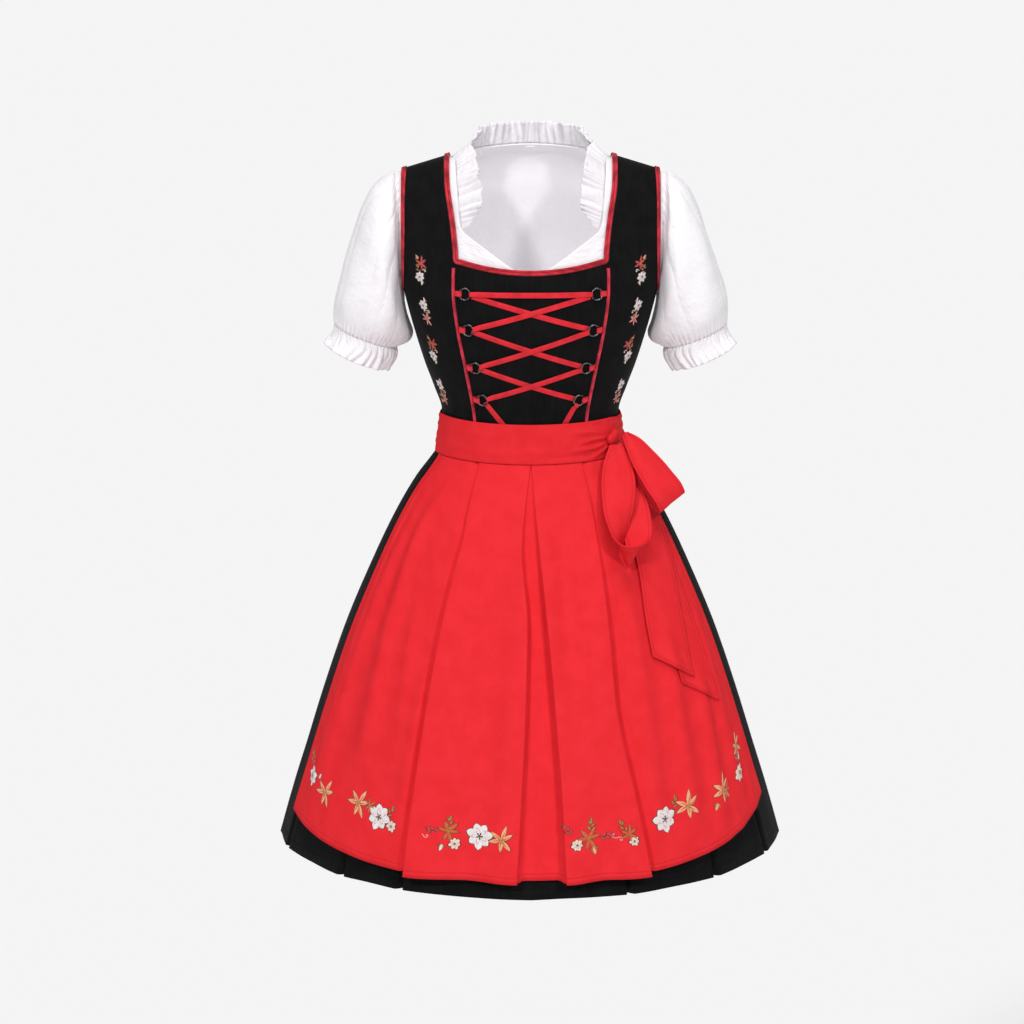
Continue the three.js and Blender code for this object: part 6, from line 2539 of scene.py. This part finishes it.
# the garland's groups: angle round the body, height above its line, then what is stitched and how
GARLAND = (
    (-60, 4, (
        (Motif.spray, Finish.OLIVE, -34, 10, 22, -20, 4),
        (Motif.blossom, Finish.IVORY, -20, 3, 30, 10),
        (Motif.star, Finish.PEACH, 20, -5, 40, 12),
        (Motif.bud, Finish.CREAM, 0, 8, 9, 20),
    )),
    (-38, 3, (
        (Motif.star, Finish.PEACH, -35, 7, 42, 20),
        (Motif.star, Finish.ORANGE, -14, 10, 22, 50),
        (Motif.blossom, Finish.IVORY, 6, -1, 40, 40),
        (Motif.spray, Finish.OLIVE, 20, 2, 20, 25, 3),
        (Motif.blossom, Finish.CREAM, 30, -8, 18, 0),
    )),
    (-11.8, 0, (
        (Motif.tendril, Finish.PINK, -78, 0, 13, 160, -1),
        (Motif.spray, Finish.ROSE, -56, 2, 18, -70, 4),
        (Motif.spray, Finish.OLIVE, -44, 4, 22, 12, 4),
        (Motif.star, Finish.ORANGE, -42, 4, 32, 40),
        (Motif.blossom, Finish.CREAM, -33, -13, 18, 0),
        (Motif.bud, Finish.CREAM, -50, -14, 10, 200),
        (Motif.blossom, Finish.IVORY, 2, 0, 40, 30),
        (Motif.star, Finish.PEACH, 34, -2, 38, 10),
    )),
    (12.5, -2, (
        (Motif.spray, Finish.ROSE, -22, 6, 20, -35, 4),
        (Motif.spray, Finish.OLIVE, 4, 4, 24, 8, 4),
        (Motif.star, Finish.ORANGE, 2, 0, 36, 25),
        (Motif.blossom, Finish.CREAM, -16, -7, 18, 0),
        (Motif.bud, Finish.PEACH, 8, -12, 12, 170),
        (Motif.spray, Finish.ROSE, 16, 0, 22, 85, 4),
        (Motif.tendril, Finish.PINK, 40, -3, 13, 60, 1),
    )),
    (21.5, 0, (
        (Motif.tendril, Finish.PINK, -14, -4, 13, -100, 1),
        (Motif.spray, Finish.OLIVE, -2, 2, 20, -25, 3),
        (Motif.star, Finish.ORANGE, 2, 0, 26, 0),
        (Motif.blossom, Finish.CREAM, 7, -10, 15, 0),
    )),
    (32.5, 4, (
        (Motif.blossom, Finish.IVORY, -4, 0, 40, 20),
        (Motif.spray, Finish.OLIVE, 14, 8, 20, 20, 3),
        (Motif.star, Finish.PEACH, 38, 8, 42, 5),
    )),
    (51, 6, (
        (Motif.star, Finish.PEACH, 0, 2, 42, 15),
        (Motif.star, Finish.ORANGE, 8, -5, 24, 40),
        (Motif.bud, Finish.PEACH, -16, -12, 11, 220),
    )),
    (60.5, 12, (
        (Motif.blossom, Finish.CREAM, -4, -6, 26, 0),
        (Motif.spray, Finish.OLIVE, -2, 6, 24, 10, 4),
        (Motif.star, Finish.PEACH, 10, 28, 34, 10),
        (Motif.bud, Finish.IVORY, 6, 8, 10, 30),
    )),
)


@dataclass
class Embroidery:
    """Flower sprigs up the bodice's sides and a garland above the apron's hem."""

    form: BodyForm
    apron: Apron
    # distance from the centre line, height and lean of each sprig's middle, on the wearer's left
    sprigs: tuple[Triple, ...] = (
        (158, -156, 2), (152, -215, -6), (141, -275, -10), (129, -339, -14),
    )
    garland_height: float = 64.0

    def on_bodice(self, x: float, level: float, lean: float) -> Callable:
        """A sprig's map from its own plane to the bodice.

        Args:
            x: Distance of the sprig's middle from the centre line.
            level: Its height.
            lean: How far it leans, in degrees.

        Returns:
            A function of distance across, distance up and height off the cloth.
        """
        share = self.form.share_of(np.array([x]), np.array([level]))
        step = self.form.place(share + 0.002, np.array([level])).points - self.form.place(
            share - 0.002, np.array([level])).points
        per_share = float(np.linalg.norm(step)) / 0.004
        angle = math.radians(lean)

        def onto(across: Array, up: Array, off: Array) -> Array:
            """Points of the bodice.

            Args:
                across: Distance across.
                up: Distance up.
                off: Height off the cloth.

            Returns:
                The points.
            """
            side = across * math.cos(angle) + up * math.sin(angle)
            rise = up * math.cos(angle) - across * math.sin(angle)
            spot = self.form.place(share + side / per_share, level + rise)
            return spot.raised(off[:, None])
        return onto

    def sprig(self, number: int, sign: int) -> Motif:
        """A narrow sprig with a star and a blossom, which change places from one to the next.

        Args:
            number: The sprig's number from the top, from 0.
            sign: 1 on the wearer's left, -1 on the right.

        Returns:
            The sprig.
        """
        motif = Motif()
        flip = 1 if number % 2 == 0 else -1
        motif.spray(sign * 1.5, -4 * flip, 14, sign * 25 + (0 if flip > 0 else 180), 3, Finish.OLIVE)
        motif.star(-1.5 * sign, 11 * flip, 21, 10 * number, Finish.ROSE if number % 2 == 0 else Finish.PINK)
        motif.blossom(2.0 * sign, -8.5 * flip, 17, 15 * number, Finish.IVORY)
        motif.bud(4.5 * sign, 17 * flip, 7, sign * 30 * flip + (0 if flip > 0 else 180), Finish.PEACH)
        motif.bud(-2.5 * sign, -14 * flip, 7, -sign * 15 * flip + (180 if flip > 0 else 0), Finish.IVORY)
        motif.tendril(-3 * sign, 1, 9, -sign * 50, -sign, Finish.CREAM)
        return motif

    @staticmethod
    def garland() -> list[tuple[float, float, Motif]]:
        """The garland's groups, each with its angle round the body and its height above the line.

        Returns:
            The groups.
        """
        groups = []
        for angle, up, stitches in GARLAND:
            motif = Motif()
            for draw, thread, *values in stitches:
                draw(motif, *values, thread)
            groups.append((angle, up, motif))
        return groups

    def build(self) -> None:
        """Make every sprig and every group of the garland."""
        for name, sign in SIDES:
            for number, (x, level, lean) in enumerate(self.sprigs):
                onto = self.on_bodice(sign * x, level, sign * lean)
                self.sprig(number, sign).build(f"sprig_{number + 1}_{name}", onto, "trim_braid")
        for number, (angle, up, motif) in enumerate(self.garland()):
            onto = self.apron.place(angle, self.garland_height + up)
            motif.build(f"garland_{number + 1}", onto, "trim_braid")


# ---- studio

@dataclass
class Studio:
    """Camera, pale floor and soft light."""

    aim: Triple = (-0.027, 0.0, -0.535)
    distance: float = 4.87
    pitch: float = 15.0
    lens: float = 115.0
    sensor: float = 36.0
    far: float = 500.0
    floor_height: float = -3.0
    floor_half: float = 150.0
    sky: float = 0.14
    # name, degrees round from the front, degrees up, strength, how wide it looks
    lights: tuple[tuple[str, float, float, float, float], ...] = (
        ("right", 28, 36, 0.93, 6), ("left", -24, 36, 1.06, 6), ("above", 0, 75, 1.48, 30),
    )

    def camera(self) -> None:
        """The camera."""
        angle = math.radians(self.pitch)
        aim = Vector(self.aim)
        place = aim + self.distance * Vector((0, -math.cos(angle), math.sin(angle)))
        data = bpy.data.cameras.new("camera")
        data.lens = self.lens
        data.sensor_width = self.sensor
        data.clip_end = self.far
        camera = linked("camera", data)
        camera.location = place
        camera.rotation_euler = (aim - place).to_track_quat("-Z", "Y").to_euler()
        bpy.context.scene.camera = camera

    def floor(self) -> None:
        """The floor."""
        shape = bmesh.new()
        bmesh.ops.create_grid(shape, x_segments=2, y_segments=2, size=self.floor_half)
        bmesh.ops.translate(shape, verts=shape.verts, vec=(0, 0, self.floor_height))
        floor = linked("floor", mesh_of(shape, "floor"))
        floor.data.materials.append(PaleBoard().material())

    def light(self, name: str, side: float, height: float, power: float, spread: float) -> None:
        """One distant soft light.

        Args:
            name: Its name.
            side: How far round it stands from the front, in degrees towards the wearer's left.
            height: Its height above the floor, in degrees.
            power: Its strength, in watts per square metre.
            spread: How wide it looks, in degrees.
        """
        data = bpy.data.lights.new(name, "SUN")
        data.energy = power
        data.angle = math.radians(spread)
        lamp = linked(name, data)
        turn, rise = math.radians(side), math.radians(height)
        place = Vector((math.sin(turn) * math.cos(rise), -math.cos(turn) * math.cos(rise), math.sin(rise)))
        lamp.rotation_euler = (-place).to_track_quat("-Z", "Y").to_euler()

    def build(self) -> None:
        """Make the studio round the garment."""
        self.floor()
        world = bpy.data.worlds.new("studio")
        bpy.context.scene.world = world
        world.use_nodes = True
        background = world.node_tree.nodes["Background"].inputs
        background["Color"].default_value = (1, 1, 1, 1)
        background["Strength"].default_value = self.sky
        for light in self.lights:
            self.light(*light)
        bpy.context.scene.view_settings.view_transform = "Standard"


def main() -> None:
    """Build the whole set in order."""
    logging.basicConfig(level=logging.INFO, format="%(message)s")
    studio = Studio()
    studio.camera()
    form = BodyForm()
    bodice = Bodice(form)
    apron = Apron()
    parts = (
        ("bodice", bodice), ("lacing", Lacing(form, bodice.princess)), ("blouse", Blouse(form)),
        ("skirt", Skirt()), ("apron", apron), ("ties", WaistTies(apron)),
        ("embroidery", Embroidery(form, apron)), ("studio", studio),
    )
    for name, part in parts:
        part.build()
        LOG.info("%s built", name)


if __name__ == "__main__":
    main()
